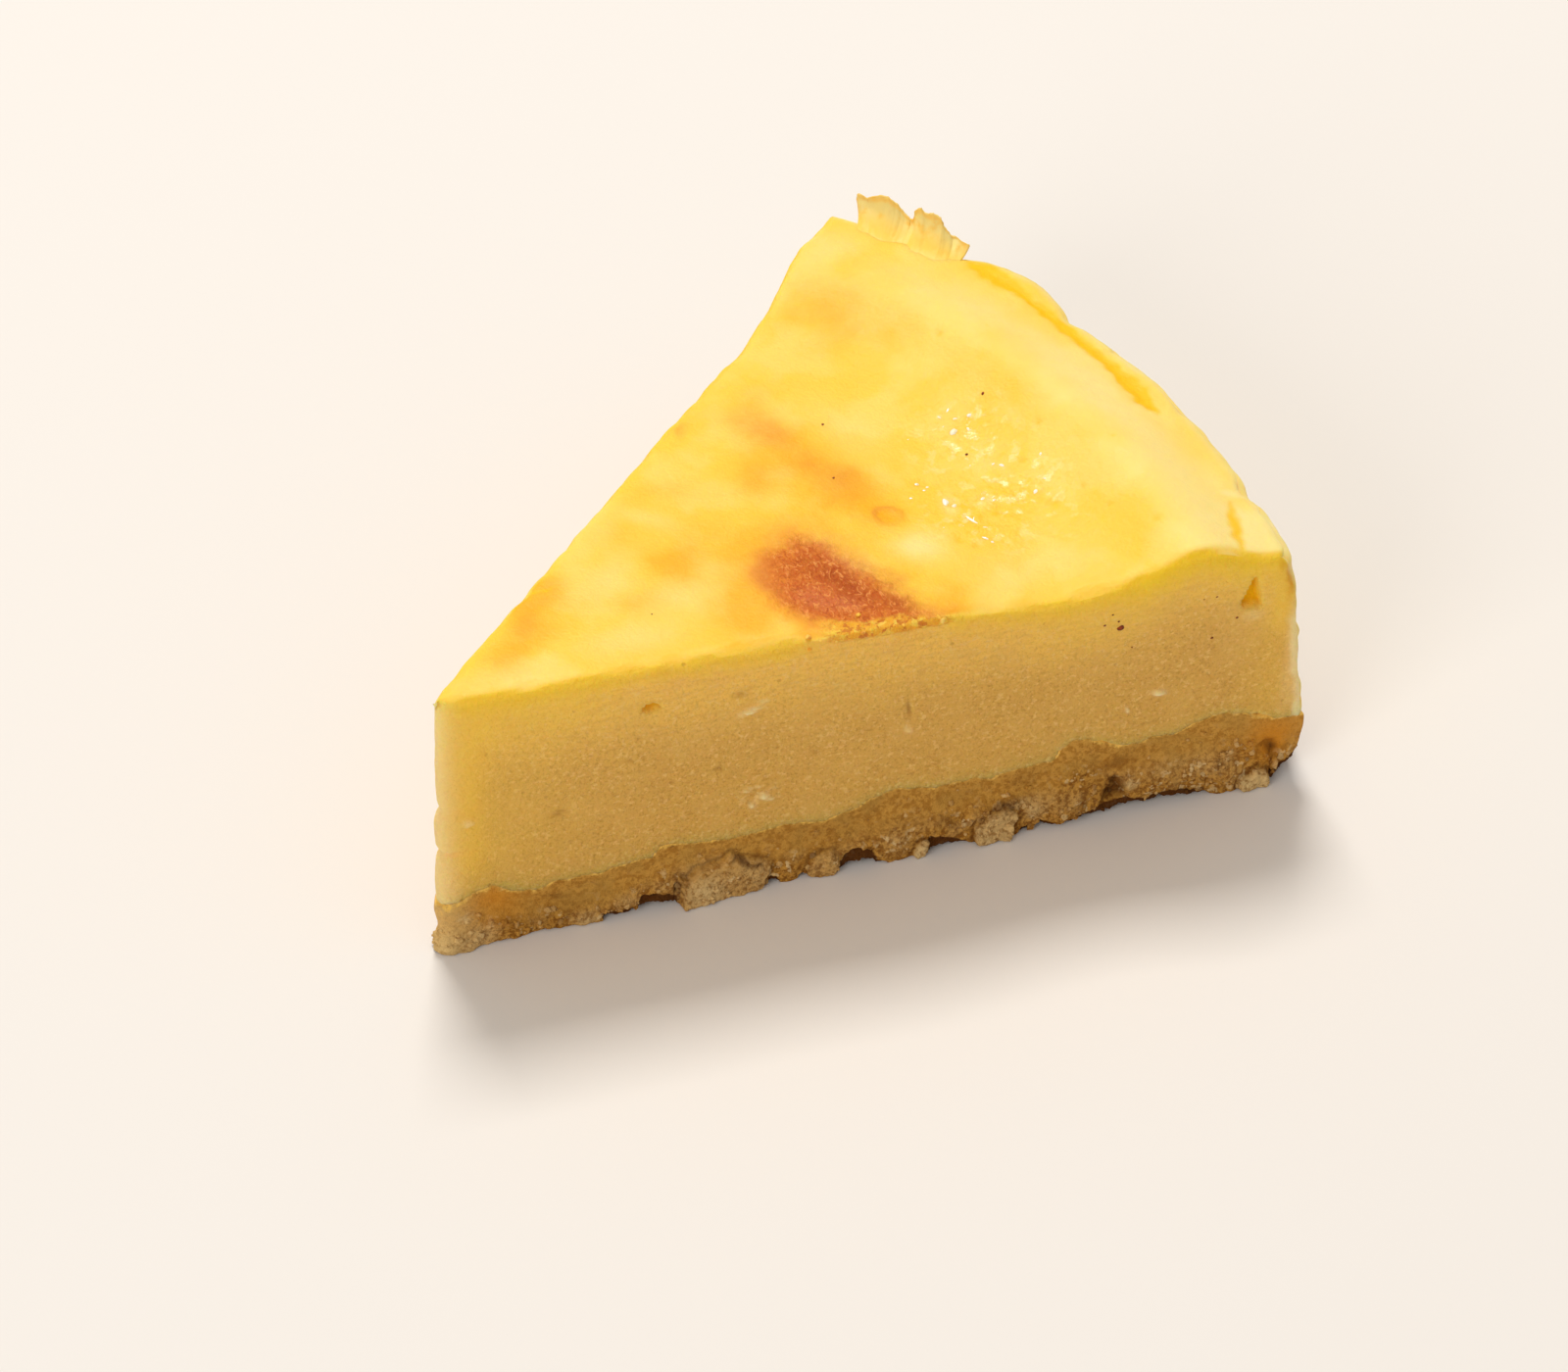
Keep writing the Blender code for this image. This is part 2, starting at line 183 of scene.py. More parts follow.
def cut_angle(across, r):
    """Angle of a place by its share of the way from the near cut to the far one."""
    return NEAR_CUT + across * (FAR_CUT + FAR_FLARE * shelf(r, FLARE_START, FLARE_END) - NEAR_CUT)


def placed(r, angle, z):
    """Places given by their distance from the point, their angle round the cake and their height."""
    return np.stack([r * np.cos(angle), r * np.sin(angle), z], axis=1)


def rim_radius(angle, z):
    """Distance from the point to the outside of the cake, which leans in upwards and bulges at the top."""
    degrees = np.degrees(angle)
    bulge = sum(rise * bell(degrees - at, width) for at, width, rise in RIM_BULGES)
    return TIN_RADIUS - RIM_LEAN * z / LEAN_HEIGHT + bulge * shelf(z, 20.0, 32.0)


def top_height(r, angle):
    """Height of the baked top, without its seam and fine relief."""
    relief = 1.0 - (1.0 - FAR_SWELL_SHARE) * shelf(angle, 0.0, FAR_CUT)
    sag = SAG_DEPTH * bell(r - SAG_RADIUS, SAG_WIDTH)
    swell = SWELL_RISE * bell(r - SWELL_RADIUS, SWELL_WIDTH)
    return POINT_HEIGHT - FALL * r + relief * (swell - sag)


def joint_height(r, angle):
    """Height at which the filling meets the biscuit base, with the ragged line that crumbs leave."""
    flat = placed(r, angle, np.zeros(len(r)))
    near = 1.0 - shelf(r * np.sin(angle - NEAR_CUT), 0.0, SWELL_REACH)
    elsewhere = JOINT_AT_POINT + JOINT_RISE * r / TIN_RADIUS + WAVE_HEIGHT * grain(flat, WAVE_LENGTH)
    ragged = 0.25 * grain(flat, 1.8, 21) + 0.25 * grain(flat, 0.8, 22)
    return near * np.interp(r, *NEAR_JOINT) + (1.0 - near) * elsewhere + ragged


def soaked(points, joint):
    """How far into the soaked biscuit: 0.5 at the joint, 1 a little under it and 0 a little over it."""
    reach = SOAK_REACH * (3.0 - 2.0 * shelf(np.hypot(points[:, 0], points[:, 1]), *SOAKED_POINT))
    return np.clip(0.5 + (joint - points[:, 2]) / (2.0 * reach), 0.0, 1.0)


def cut_waves(points):
    """The low swells that the knife left in the cuts, through the filling and the base alike."""
    return 0.13 * grain(points, 6.0, 7)


def blunted(points):
    """Draws the sharp end of the wedge back into a round one."""
    r = np.hypot(points[:, 0], points[:, 1])
    back = POINT_CUT_BACK * np.clip(1.0 - r / POINT_REACH, 0.0, None) ** 2
    return points + back[:, None] * np.array((math.cos(MIDDLE), math.sin(MIDDLE), 0.0))


def eased(points, walls, radius):
    """Rounds the edges between walls, each given as distances to it and the directions in from it."""
    short = [np.clip(radius - distance, 0.0, None) for distance, _ in walls]
    reach = np.sqrt(sum(s * s for s in short))
    share = np.where(reach > radius * 1.0001, 1.0 - radius / np.maximum(reach, radius), 0.0)
    return points + sum((s * share)[:, None] * inward for s, (_, inward) in zip(short, walls))


def to_frame(points):
    """Moves points from the slice's millimetres to the frame's metres."""
    return (points + POINT) * MM


class Signal:
    """A socket in a node tree. Arithmetic on it adds Math nodes, and node() adds any other node."""

    def __init__(self, tree, socket=None):
        self.tree = tree
        self.socket = socket

    def node(self, kind, settings=None, inputs=None, output=0):
        """Adds a node, sets it up, feeds its sockets with values or links, and gives one of its outputs."""
        made = self.tree.nodes.new(kind)
        for name, value in (settings or {}).items():
            setattr(made, name, value)
        for name, value in (inputs or {}).items():
            if isinstance(value, Signal):
                self.tree.links.new(value.socket, made.inputs[name])
            else:
                made.inputs[name].default_value = value
        return Signal(self.tree, made.outputs[output] if len(made.outputs) else None)

    def beside(self, output):
        """Another output of the same node."""
        return Signal(self.tree, self.socket.node.outputs[output])

    def math(self, operation, first, second):
        return self.node("ShaderNodeMath", {"operation": operation}, {0: first, 1: second})

    def __add__(self, other):
        return self.math("ADD", self, other)

    def __sub__(self, other):
        return self.math("SUBTRACT", self, other)

    def __rsub__(self, other):
        return self.math("SUBTRACT", other, self)

    def __mul__(self, other):
        return self.math("MULTIPLY", self, other)

    __radd__ = __add__
    __rmul__ = __mul__


def colour(red, green, blue):
    """A colour as the eye sees it, each part from 0 to 255, turned to the shader's own scale."""
    parts = [c / 255.0 for c in (red, green, blue)]
    linear = [c / 12.92 if c <= 0.04045 else ((c + 0.055) / 1.055) ** 2.4 for c in parts]
    return (*linear, 1.0)


def new_material(name):
    """A material with an empty tree, and the signal that its nodes start from."""
    made = bpy.data.materials.new(name)
    made.use_nodes = True
    made.node_tree.nodes.clear()
    return made, Signal(made.node_tree)


def measured(start, name):
    """A value that the piece carries at each of its points."""
    return start.node("ShaderNodeAttribute", {"attribute_name": name}, output="Fac")


def speckle(start, size, detail=2.0, roughness=0.5, warp=0.0, where=None):
    """Noise from 0 to 1 over the piece, with lumps of the given size in millimetres."""
    inputs = {
        "Vector": where or start.node("ShaderNodeTexCoord", output="Object"),
        "Scale": 1.0 / (size * MM),
        "Detail": detail,
        "Roughness": roughness,
        "Distortion": warp,
    }
    return start.node("ShaderNodeTexNoise", {}, inputs)


def roughened(start, size, detail, roughness, swing):
    """Noise that swings either side of 0, for fraying the edge of a mark."""
    return swing * (speckle(start, size, detail, roughness) - 0.5)


def drawn_out(start, turn, squeeze):
    """Places over the top, squeezed along one direction, so that a pattern on them is drawn out along it."""
    where = start.node("ShaderNodeTexCoord", output="Object")
    c, s = math.cos(math.radians(turn)), math.sin(math.radians(turn))
    dot = {"operation": "DOT_PRODUCT"}
    along = start.node("ShaderNodeVectorMath", dot, {0: where, 1: (squeeze * c, squeeze * s, 0.0)}, "Value")
    aside = start.node("ShaderNodeVectorMath", dot, {0: where, 1: (-s, c, 0.0)}, "Value")
    return start.node("ShaderNodeCombineXYZ", {}, {0: along, 1: aside})


def cells(start, size, feature="F1"):
    """Many small uneven cells over the piece: distance from a cell's middle, or from the gap round it."""
    where = start.node("ShaderNodeTexCoord", output="Object")
    inputs = {"Vector": where, "Scale": 1.0 / (size * MM)}
    return start.node("ShaderNodeTexVoronoi", {"feature": feature}, inputs)


def sharpened(signal, low, high):
    """Turns a signal into a smooth step between two of its values."""
    settings = {"interpolation_type": "SMOOTHSTEP"}
    inputs = {"Value": signal, "From Min": min(low, high), "From Max": max(low, high)}
    step = signal.node("ShaderNodeMapRange", settings, inputs)
    return step if low < high else 1.0 - step


def laid_over(under, over, share):
    """One colour laid over another by a share."""
    settings = {"data_type": "RGBA", "clamp_factor": True}
    return share.node("ShaderNodeMix", settings, {0: share, 6: under, 7: over}, output=2)


def layered(surface, *layers):
    """Colours laid over one another in turn, each with its share."""
    for over, share in layers:
        surface = laid_over(surface, over, share)
    return surface


def bumped(height, depth):
    """A surface direction disturbed by a height that runs over the given depth in millimetres."""
    inputs = {"Strength": 1.0, "Distance": depth * MM, "Height": height}
    return height.node("ShaderNodeBump", {}, inputs, output="Normal")


def finish_material(start, inputs):
    """Ends a material with its shader."""
    shader = start.node("ShaderNodeBsdfPrincipled", {}, inputs)
    start.node("ShaderNodeOutputMaterial", {}, {"Surface": shader})


def make_piece(name, points, faces, finish, values=None):
    """Makes a smooth piece of the slice, with named values at its points for its material."""
    mesh = bpy.data.meshes.new(name)
    mesh.from_pydata(to_frame(points).tolist(), [], faces)
    mesh.shade_smooth()
    mesh.materials.append(finish)
    for key, value in (values or {}).items():
        mesh.attributes.new(key, "FLOAT", "POINT").data.foreach_set("value", value.astype(np.float32))
    made = bpy.data.objects.new(name, mesh)
    bpy.context.scene.collection.objects.link(made)
    return made


def point_normals(points, faces):
    """Directions out of a mesh at its points."""
    mesh = bpy.data.meshes.new("measure")
    mesh.from_pydata(points.tolist(), [], faces)
    out = np.zeros(len(points) * 3, np.float32)
    mesh.vertex_normals.foreach_get("vector", out)
    bpy.data.meshes.remove(mesh)
    return out.reshape(-1, 3).astype(float)


def belongs(piece, slot, *nodes):
    """Gives a finished piece to the slice's body, and hides the solids that it stands for. The slot is not
    used.
    """
    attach(piece, "root")
    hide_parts(*nodes)


# The filling's wedge

def slice_lattice(rows, levels):
    """A closed wedge: triangles on top, four-sided faces down its walls and a fan underneath.

    Returns how far each point is from point to rim, from near cut to far cut and from bottom to top, each
    from 0 to 1, and the faces. The last point is the middle of the fan.
    """
    row = np.repeat(np.arange(rows + 1), np.arange(1, rows + 2))
    column = np.arange(len(row)) - row * (row + 1) // 2
    here = np.nonzero(row < rows)[0]
    below = here + row[here] + 1
    not_last = column[here] < row[here]
    tops = [np.stack([here, below, below + 1], axis=1)]
    tops.append(np.stack([here, below + 1, here + 1], axis=1)[not_last])
    i = np.arange(rows)
    first, last = i * (i + 1) // 2, (rows - i) * (rows - i + 1) // 2 + rows - i
    ring = np.concatenate([first, rows * (rows + 1) // 2 + i, last])
    around = len(ring)
    wall = np.vstack([ring] + [len(row) + level * around + np.arange(around) for level in range(levels)])
    upper, lower = wall[:-1].ravel(), wall[1:].ravel()
    upper_next, lower_next = np.roll(wall[:-1], -1, axis=1).ravel(), np.roll(wall[1:], -1, axis=1).ravel()
    sides = np.stack([upper, lower, lower_next, upper_next], axis=1)
    hub = len(row) + levels * around
    fan = np.stack([np.roll(wall[-1], -1), wall[-1], np.full(around, hub)], axis=1)
    out = row / rows
    across = np.where(row > 0, column / np.maximum(row, 1), 0.5)
    out = np.concatenate([out, np.tile(out[ring], levels), [FAN_MIDDLE]])
    across = np.concatenate([across, np.tile(across[ring], levels), [0.5]])
    down_walls = np.repeat(1.0 - np.arange(1, levels + 1) / levels, around)
    up = np.concatenate([np.ones(len(row)), down_walls, [0.0]])
    faces = np.vstack(tops).tolist() + sides.tolist() + fan.tolist()
    return out, across, up, faces


def edge_softness(points, depth, near):
    """How round the filling's edges are: rounder over the cuts, less down the corners."""
    crumbled = crumbled_stretch(points @ NEAR_ALONG, 4.0)
    uneven = 1.0 + 0.45 * grain(points * (1.0, 1.0, 0.0), 3.2, 13)
    over_cut = CUT_EASE * uneven * np.where(near, 1.0 - 0.6 * crumbled, 0.7)
    return CORNER_EASE + (over_cut - CORNER_EASE) * (1.0 - shelf(depth, 2.5, 6.0))


def filling_form(out, across, up):
    """Places of the filling's points, before its fine relief, and the height of the top over each."""
    back = 1.0 - out
    share = 1.0 - ROW_CLOSING * back - (1.0 - ROW_CLOSING) * back**ROW_POWER
    across = across - CUT_CROWDING * np.sin(2.0 * np.pi * across)
    angle = cut_angle(across, share * TIN_RADIUS)
    r = share * rim_radius(angle, LEAN_HEIGHT)
    top = top_height(r, angle)
    bottom = joint_height(r, angle) - JOINT_OVERLAP
    down_share = 1.0 - up - LEVEL_CROWDING * np.sin(2.0 * np.pi * (1.0 - up)) / (2.0 * np.pi)
    z = top - (top - bottom) * down_share
    r = share * rim_radius(angle, z)
    points = placed(r, angle, z)
    rim_in = -placed(1.0, angle, np.zeros(len(r)))
    to_rim = rim_radius(angle, z) - r
    down = np.array((0.0, 0.0, -1.0))
    points = eased(points, [(to_rim, rim_in), (top - z, down)], RIM_EASE)
    to_near = r * np.sin(angle - NEAR_CUT)
    to_far = r * np.sin(cut_angle(1.0, r) - angle)
    nearer = to_near < to_far
    cut_in = np.where(nearer[:, None], -NEAR_OUT, -FAR_OUT)
    to_cut = np.minimum(to_near, to_far)
    softness = edge_softness(points, top - z, nearer)
    points = eased(points, [(to_cut, cut_in), (top - points[:, 2], down), (to_rim, rim_in)], softness)
    return blunted(points), top


# Stains of the baked top: x, y, half length, half width, turn in degrees, strength
AMBER_STAINS = (
    (17.0, 3.4, 5.5, 3.2, 32, 0.80),
    (21.8, 6.8, 3.6, 2.0, 15, 0.95),
    (13.5, 1.2, 3.4, 2.2, 30, 0.45),
    (24.0, 3.0, 6.0, 2.6, 20, 0.25),
    (28.4, -0.5, 3.2, 2.6, 0, 0.50),
    (37.0, 1.4, 4.0, 3.0, 25, 0.90),
    (42.5, 11.2, 3.2, 3.4, 20, 0.36),
    (33.0, 8.0, 4.4, 2.6, 25, 0.35),
    (43.0, 4.0, 4.4, 2.6, 0, 0.30),
    (52.0, 7.6, 4.0, 3.4, 0, 0.70),
    (58.2, 13.6, 4.6, 7.0, 10, 0.80),
    (59.6, 1.4, 4.6, 6.6, -15, 0.74),
    (55.0, -3.0, 4.0, 4.5, 0, 0.10),
    (37.0, -9.5, 5.0, 4.2, 20, 0.62),
    (43.0, -4.0, 7.0, 4.0, 25, 0.70),
    (40.0, -13.0, 5.5, 4.4, -20, 0.75),
    (49.0, -2.5, 5.0, 3.0, 0, 0.40),
    (54.2, -13.0, 2.4, 9.0, 8, 0.50),
    (55.5, -21.5, 4.0, 2.6, -25, 0.50),
    (46.0, 0.0, 16.0, 17.0, 0, 0.18),
    (79.5, 20.0, 4.6, 9.0, 20, 0.50),
    (72.0, 20.0, 9.0, 5.0, 20, 0.20),
    (78.0, 27.0, 7.0, 5.0, 24, 0.22),
    (66.5, -20.5, 3.0, 2.0, -20, 0.25),
)
ORANGE_STAINS = (
    (17.4, 3.8, 3.0, 1.5, 32, 0.30),
    (58.4, 13.0, 2.8, 4.4, 10, 0.50),
    (59.6, 2.0, 3.0, 4.8, -15, 0.46),
    (52.2, 7.4, 2.4, 2.2, 0, 0.25),
    (41.6, -9.6, 2.0, 4.0, 8, 0.60),
    (43.8, -5.2, 3.2, 2.2, 35, 0.62),
    (48.0, -2.4, 3.4, 1.4, 0, 0.22),
    (52.4, -8.0, 1.2, 4.5, 0, 0.25),
    (53.0, -15.0, 1.2, 5.0, 6, 0.25),
    (42.0, -14.5, 2.0, 2.6, -40, 0.35),
    (54.5, -22.2, 2.2, 1.2, -25, 0.35),
    (36.2, 16.0, 1.2, 0.8, 20, 0.25),
    (51.6, 18.9, 1.4, 0.8, 20, 0.35),
)
PALE_SPOTS = (
    (58.8, -13.2, 3.0, 2.8, 0, 0.85),
    (32.5, -2.8, 4.5, 2.6, -20, 0.45),
    (29.5, 4.4, 4.0, 1.8, 20, 0.35),
    (38.5, 8.8, 1.6, 4.2, 30, 0.35),
    (24.5, -5.4, 5.5, 2.6, -22, 0.45),
    (55.5, 5.4, 2.0, 1.2, 10, 0.40),
    (66.0, 8.0, 3.0, 7.0, 0, 0.30),
    (66.0, -22.0, 7.0, 4.0, -20, 0.35),
    (10.0, -1.6, 5.0, 2.0, -20, 0.35),
    (66.8, -9.2, 1.8, 1.0, 60, 0.70),
    (70.6, -11.2, 1.2, 0.9, 0, 0.50),
    (90.8, -28.0, 1.6, 1.2, -60, 1.00),
    (85.5, 32.0, 5.0, 3.5, 20, 0.55),
)
BROWN_OUTLINE = [
    (40.8, -11.2),
    (43.4, -6.6),
    (45.6, -4.2),
    (49.2, -3.8),
    (50.8, -6.6),
    (51.2, -11.0),
    (51.8, -17.0),
    (52.4, -24.0),
    (47.6, -22.0),
    (42.4, -17.6),
]
PINK_SPOTS = (
    (44.4, -12.4, 2.4, 2.0, -45, 0.75),
    (46.4, -15.4, 2.2, 1.2, -40, 0.75),
    (50.6, -9.0, 0.8, 4.0, 5, 0.60),
)
DARK_SPOTS = (
    (48.2, -9.6, 1.6, 2.6, 0, 0.75),
    (48.4, -13.6, 1.7, 3.0, 8, 1.00),
    (50.8, -19.2, 1.2, 2.4, 10, 0.80),
    (46.0, -7.2, 2.0, 1.2, 20, 0.40),
)

# Between the brown patch and the near cut the top crumbled: distances from the point and widths of that
# strip, and where the crumbling starts and ends
CRUMBLED_STRIP = ((41.0, 44.9, 48.2, 51.8, 56.0, 60.0), (3.2, 3.5, 2.3, 1.7, 0.85, 0.3))
CRUMBLED_START, CRUMBLED_END = 42.0, 61.0

# Where a few crumbs lie on the edge of the far cut
FAR_CRUMBS_AT = 55.5

# How far the stains stray, slowly and finely, and the pale ring inside the rim
STAIN_WANDER, STAIN_FRAY = 2.4, 0.5
PALE_RING_RADIUS, PALE_RING_WIDTH = 91.0, 5.5

# The deep yellow seam along the rim: x, y, half width, strength
SEAM = (
    (94.8, 30.0, 0.60, 0.25),
    (96.6, 25.6, 0.80, 0.60),
    (97.2, 22.6, 1.00, 0.90),
    (97.3, 19.6, 1.50, 1.2),
    (97.0, 16.0, 1.30, 1.2),
    (97.3, 12.0, 0.70, 0.90),
    (97.0, 8.0, 0.90, 1.0),
    (96.9, 4.6, 0.90, 0.90),
    (96.6, 0.0, 0.90, 0.90),
    (96.4, -3.0, 0.80, 1.0),
    (95.8, -7.0, 1.25, 1.2),
    (94.9, -10.4, 1.20, 1.2),
    (94.3, -13.6, 0.4, 0.3),
)
NEAR_CREASE = (
    (90.0, -29.6, 0.5, 0.4),
    (88.4, -31.6, 0.8, 0.65),
    (86.4, -34.4, 0.75, 0.65),
    (84.4, -37.4, 0.5, 0.4),
)
FAR_CREASE = ((21.0, 7.4, 0.4, 0.5), (22.6, 6.3, 0.3, 0.8), (23.6, 6.6, 0.2, 0.2))
SEAM_DEPTH, CREASE_DEPTH = 0.32, 0.12

# Small pits and spots of deeper yellow in the top: x, y, radius, depth
PITS = (
    (82.2, -6.6, 0.50, 0.22),
    (83.7, 11.8, 0.55, 0.22),
    (86.0, -14.8, 0.40, 0.10),
    (88.4, 8.8, 0.35, 0.10),
    (79.2, -17.3, 0.40, 0.28),
    (79.1, -21.8, 0.30, 0.20),
    (80.5, -27.7, 0.60, 0.10),
    (75.8, 10.4, 0.30, 0.08),
    (66.6, -4.6, 0.90, 0.25),
    (63.6, -14.6, 0.80, 0.25),
    (64.4, -16.2, 0.60, 0.20),
    (75.6, -16.6, 0.80, 0.15),
    (73.6, -13.6, 0.60, 0.15),
    (77.6, -9.2, 0.50, 0.15),
)

# A round mark with a raised edge in the top: x, y, radius and width of the edge
RING_MARK = (59.8, -6.9, 1.5, 0.45)

# Small things in the near cut: distance from the point, height, half length, half width, turn, relief in mm
CURD_LUMPS = (
    (36.4, 26.6, 1.0, 0.30, 18, 0.40),
    (37.9, 27.6, 0.5, 0.22, 10, 0.22),
    (37.8, 13.5, 0.50, 0.40, -30, 0.40),
    (36.5, 12.4, 0.28, 0.40, 0, 0.34),
    (38.6, 12.9, 0.32, 0.24, 0, 0.30),
    (36.0, 14.8, 0.55, 0.24, 20, 0.22),
    (37.2, 15.0, 0.28, 0.20, 0, 0.18),
    (38.9, 14.3, 0.24, 0.18, 30, 0.20),
    (35.6, 13.4, 0.24, 0.20, 0, 0.18),
    (39.7, 13.1, 0.20, 0.18, 0, 0.16),
    (37.0, 13.0, 0.20, 0.16, 0, 0.18),
    (54.3, 19.0, 0.22, 0.5, 10, 0.35),
    (83.3, 16.9, 0.7, 0.35, -15, 0.45),
    (79.6, 15.2, 0.2, 0.4, 0, 0.30),
    (4.6, 18.6, 0.5, 0.3, 0, 0.30),
    (3.6, 4.6, 0.7, 0.8, 0, 0.35),
)
CUT_PITS = (
    (14.9, 17.0, 0.7, 0.35, 10, 0.35),
    (32.8, 18.8, 0.45, 0.35, 20, 0.35),
    (24.3, 23.0, 0.3, 0.25, 0, 0.25),
    (24.0, 25.8, 0.3, 0.3, 0, 0.20),
    (22.8, 22.8, 0.4, 0.25, 30, 0.20),
    (27.2, 8.6, 1.0, 0.25, -5, 0.35),
    (54.4, 22.0, 0.18, 1.8, -3, 0.30),
    (43.7, 18.5, 0.25, 0.2, 0, 0.25),
    (35.4, 29.2, 1.0, 0.6, 0, 0.20),
    (56.6, 23.9, 0.3, 0.3, 0, 0.20),
    (75.2, 19.2, 0.4, 0.3, 0, 0.15),
    (57.6, 13.6, 0.3, 0.25, 0, 0.15),
)

# How many times that relief the lumps rise and the pits sink
CURD_RISE, PIT_SINK = 1.3, 1.4

# The two air holes in the near cut: the round one's middle and half sizes, and the tall one's outline
ROUND_HOLE = (25.4, 29.7, 0.95, 0.6)
TALL_HOLE = [
    (93.9, 31.2), (93.2, 29.4), (92.4, 27.3), (92.8, 26.9), (94.9, 26.7), (94.5, 29.0), (94.2, 31.0),
]
HOLE_DEPTH = 1.2

# Marks in the near cut: distance from the point, height, half length, half width, turn, strength
# Pale cream marks; the two thin tall ones by the rim end are painted light on its round edge
CREAM_AND_LIT_MARKS = (
    (94.0, 25.6, 1.3, 0.7, 0, 0.35),
    (98.4, 14.0, 0.8, 5.0, 0, 0.25),
    (98.6, 21.0, 0.6, 4.0, 0, 0.30),
)
AMBER_MARKS = (
    (98.1, 30.2, 0.45, 3.4, 0, 0.85),
    (97.0, 32.2, 0.5, 1.0, 0, 0.60),
    (25.4, 30.6, 1.0, 0.3, 0, 0.40),
)

# Bites out of the tip of the slice and bumps on it: height, half height, how far it stands out
POINT_MARKS = ((20.4, 0.9, -0.5), (18.0, 1.6, 0.25), (14.1, 0.55, -0.8), (9.8, 3.0, 0.25), (26.0, 3.0, 0.15))

# Where the top is moist: x, y, half length, half width, turn in degrees, strength
WET_ZONE = (
    (75.0, -1.0, 5.0, 4.0, 0, 0.9),
    (68.0, -12.0, 5.0, 5.5, 20, 1.0),
    (75.0, -12.0, 5.5, 6.0, 0, 0.8),
)


def crumbled_stretch(s, rise=7.0):
    """How crumbled the near edge of the top is along its length."""
    return stretch(s, CRUMBLED_START, rise, CRUMBLED_END, 4.0)


class Places:
    """Where the filling's points are: on which of its sides, and how far along it, in and down."""

    def __init__(self, points, normals, top):
        self.points = points
        self.x, self.y, self.z = points.T
        self.r, self.angle = np.hypot(self.x, self.y), np.arctan2(self.y, self.x)
        self.depth = top - self.z
        self.joint = joint_height(self.r, self.angle)
        self.near = shelf(normals @ NEAR_OUT, *CUT_FACING)
        self.far = shelf(normals @ FAR_OUT, *CUT_FACING)
        self.cut = self.near + self.far
        outward = points * (1.0, 1.0, 0.0) / np.maximum(self.r, 1e-6)[:, None]
        self.rim = shelf((normals * outward).sum(axis=1), *RIM_FACING)
        self.on_top = shelf(normals[:, 2], *TOP_FACING) * (1.0 - self.cut)
        self.tip = bell(self.r, TIP_REACH) * (1.0 - self.on_top)
        self.s = points @ NEAR_ALONG
        self.along = np.where(self.near >= self.far, self.s, points @ FAR_ALONG)


def wandering(points):
    """How far the top's marks stray at each place, slowly and finely, and how clouded they are."""
    flat = points * (1.0, 1.0, 0.0)
    slow = [STAIN_WANDER * grain(flat, 6.0, seed) for seed in (1, 2)]
    fine = [STAIN_FRAY * grain(flat, 1.4, seed) for seed in (3, 4)]
    return slow, fine, grain(flat, 3.6, 5)


def stain_marks(x, y, slow, fine, cloud):
    """Strength of the amber and the orange stains, with the ring mark among them."""
    mark_x, mark_y, mark_radius, mark_width = RING_MARK
    from_mark = np.hypot(x - mark_x, y - mark_y) + 0.4 * fine[0]
    amber = stains(x + slow[0], y + slow[1], AMBER_STAINS) * (1.0 + 0.55 * cloud)
    amber += 0.85 * bell(from_mark, 1.5 * mark_radius)
    orange_x, orange_y = x + slow[0] / 2 + fine[0], y + slow[1] / 2 + fine[1]
    orange = stains(orange_x, orange_y, ORANGE_STAINS) * (1.0 + 0.5 * cloud)
    orange += 0.55 * bell(from_mark - mark_radius, mark_width) * (0.7 + 0.5 * cloud)
    return np.clip(amber, 0.0, 1.3), np.clip(orange, 0.0, 1.0)


def pale_marks(x, y, slow, cloud, crease):
    """Strength of the pale places: spots, the ring inside the rim, the rim's lip and its near corner."""
    r, angle = np.hypot(x, y), np.arctan2(y, x)
    spots = stains(x + slow[0] / 2, y + slow[1] / 2, PALE_SPOTS)
    ring = bell(r - PALE_RING_RADIUS - 1.5 * cloud, PALE_RING_WIDTH)
    ring *= (0.85 - 0.25 * shelf(angle, -0.1, 0.1)) * (1.0 - 0.8 * shelf(angle, 0.20, 0.36))
    past_rim = r - rim_radius(angle, LEAN_HEIGHT)
    lip = shelf(past_rim, -2.4, -1.0) * (0.6 + 0.4 * cloud)
    corner = shelf(past_rim, -6.5, -3.5) * shelf(-angle, 0.31, 0.36) * (1.0 - crease)
    return np.clip(np.maximum(spots, ring) + 0.8 * lip + 0.8 * corner, 0.0, 1.0)


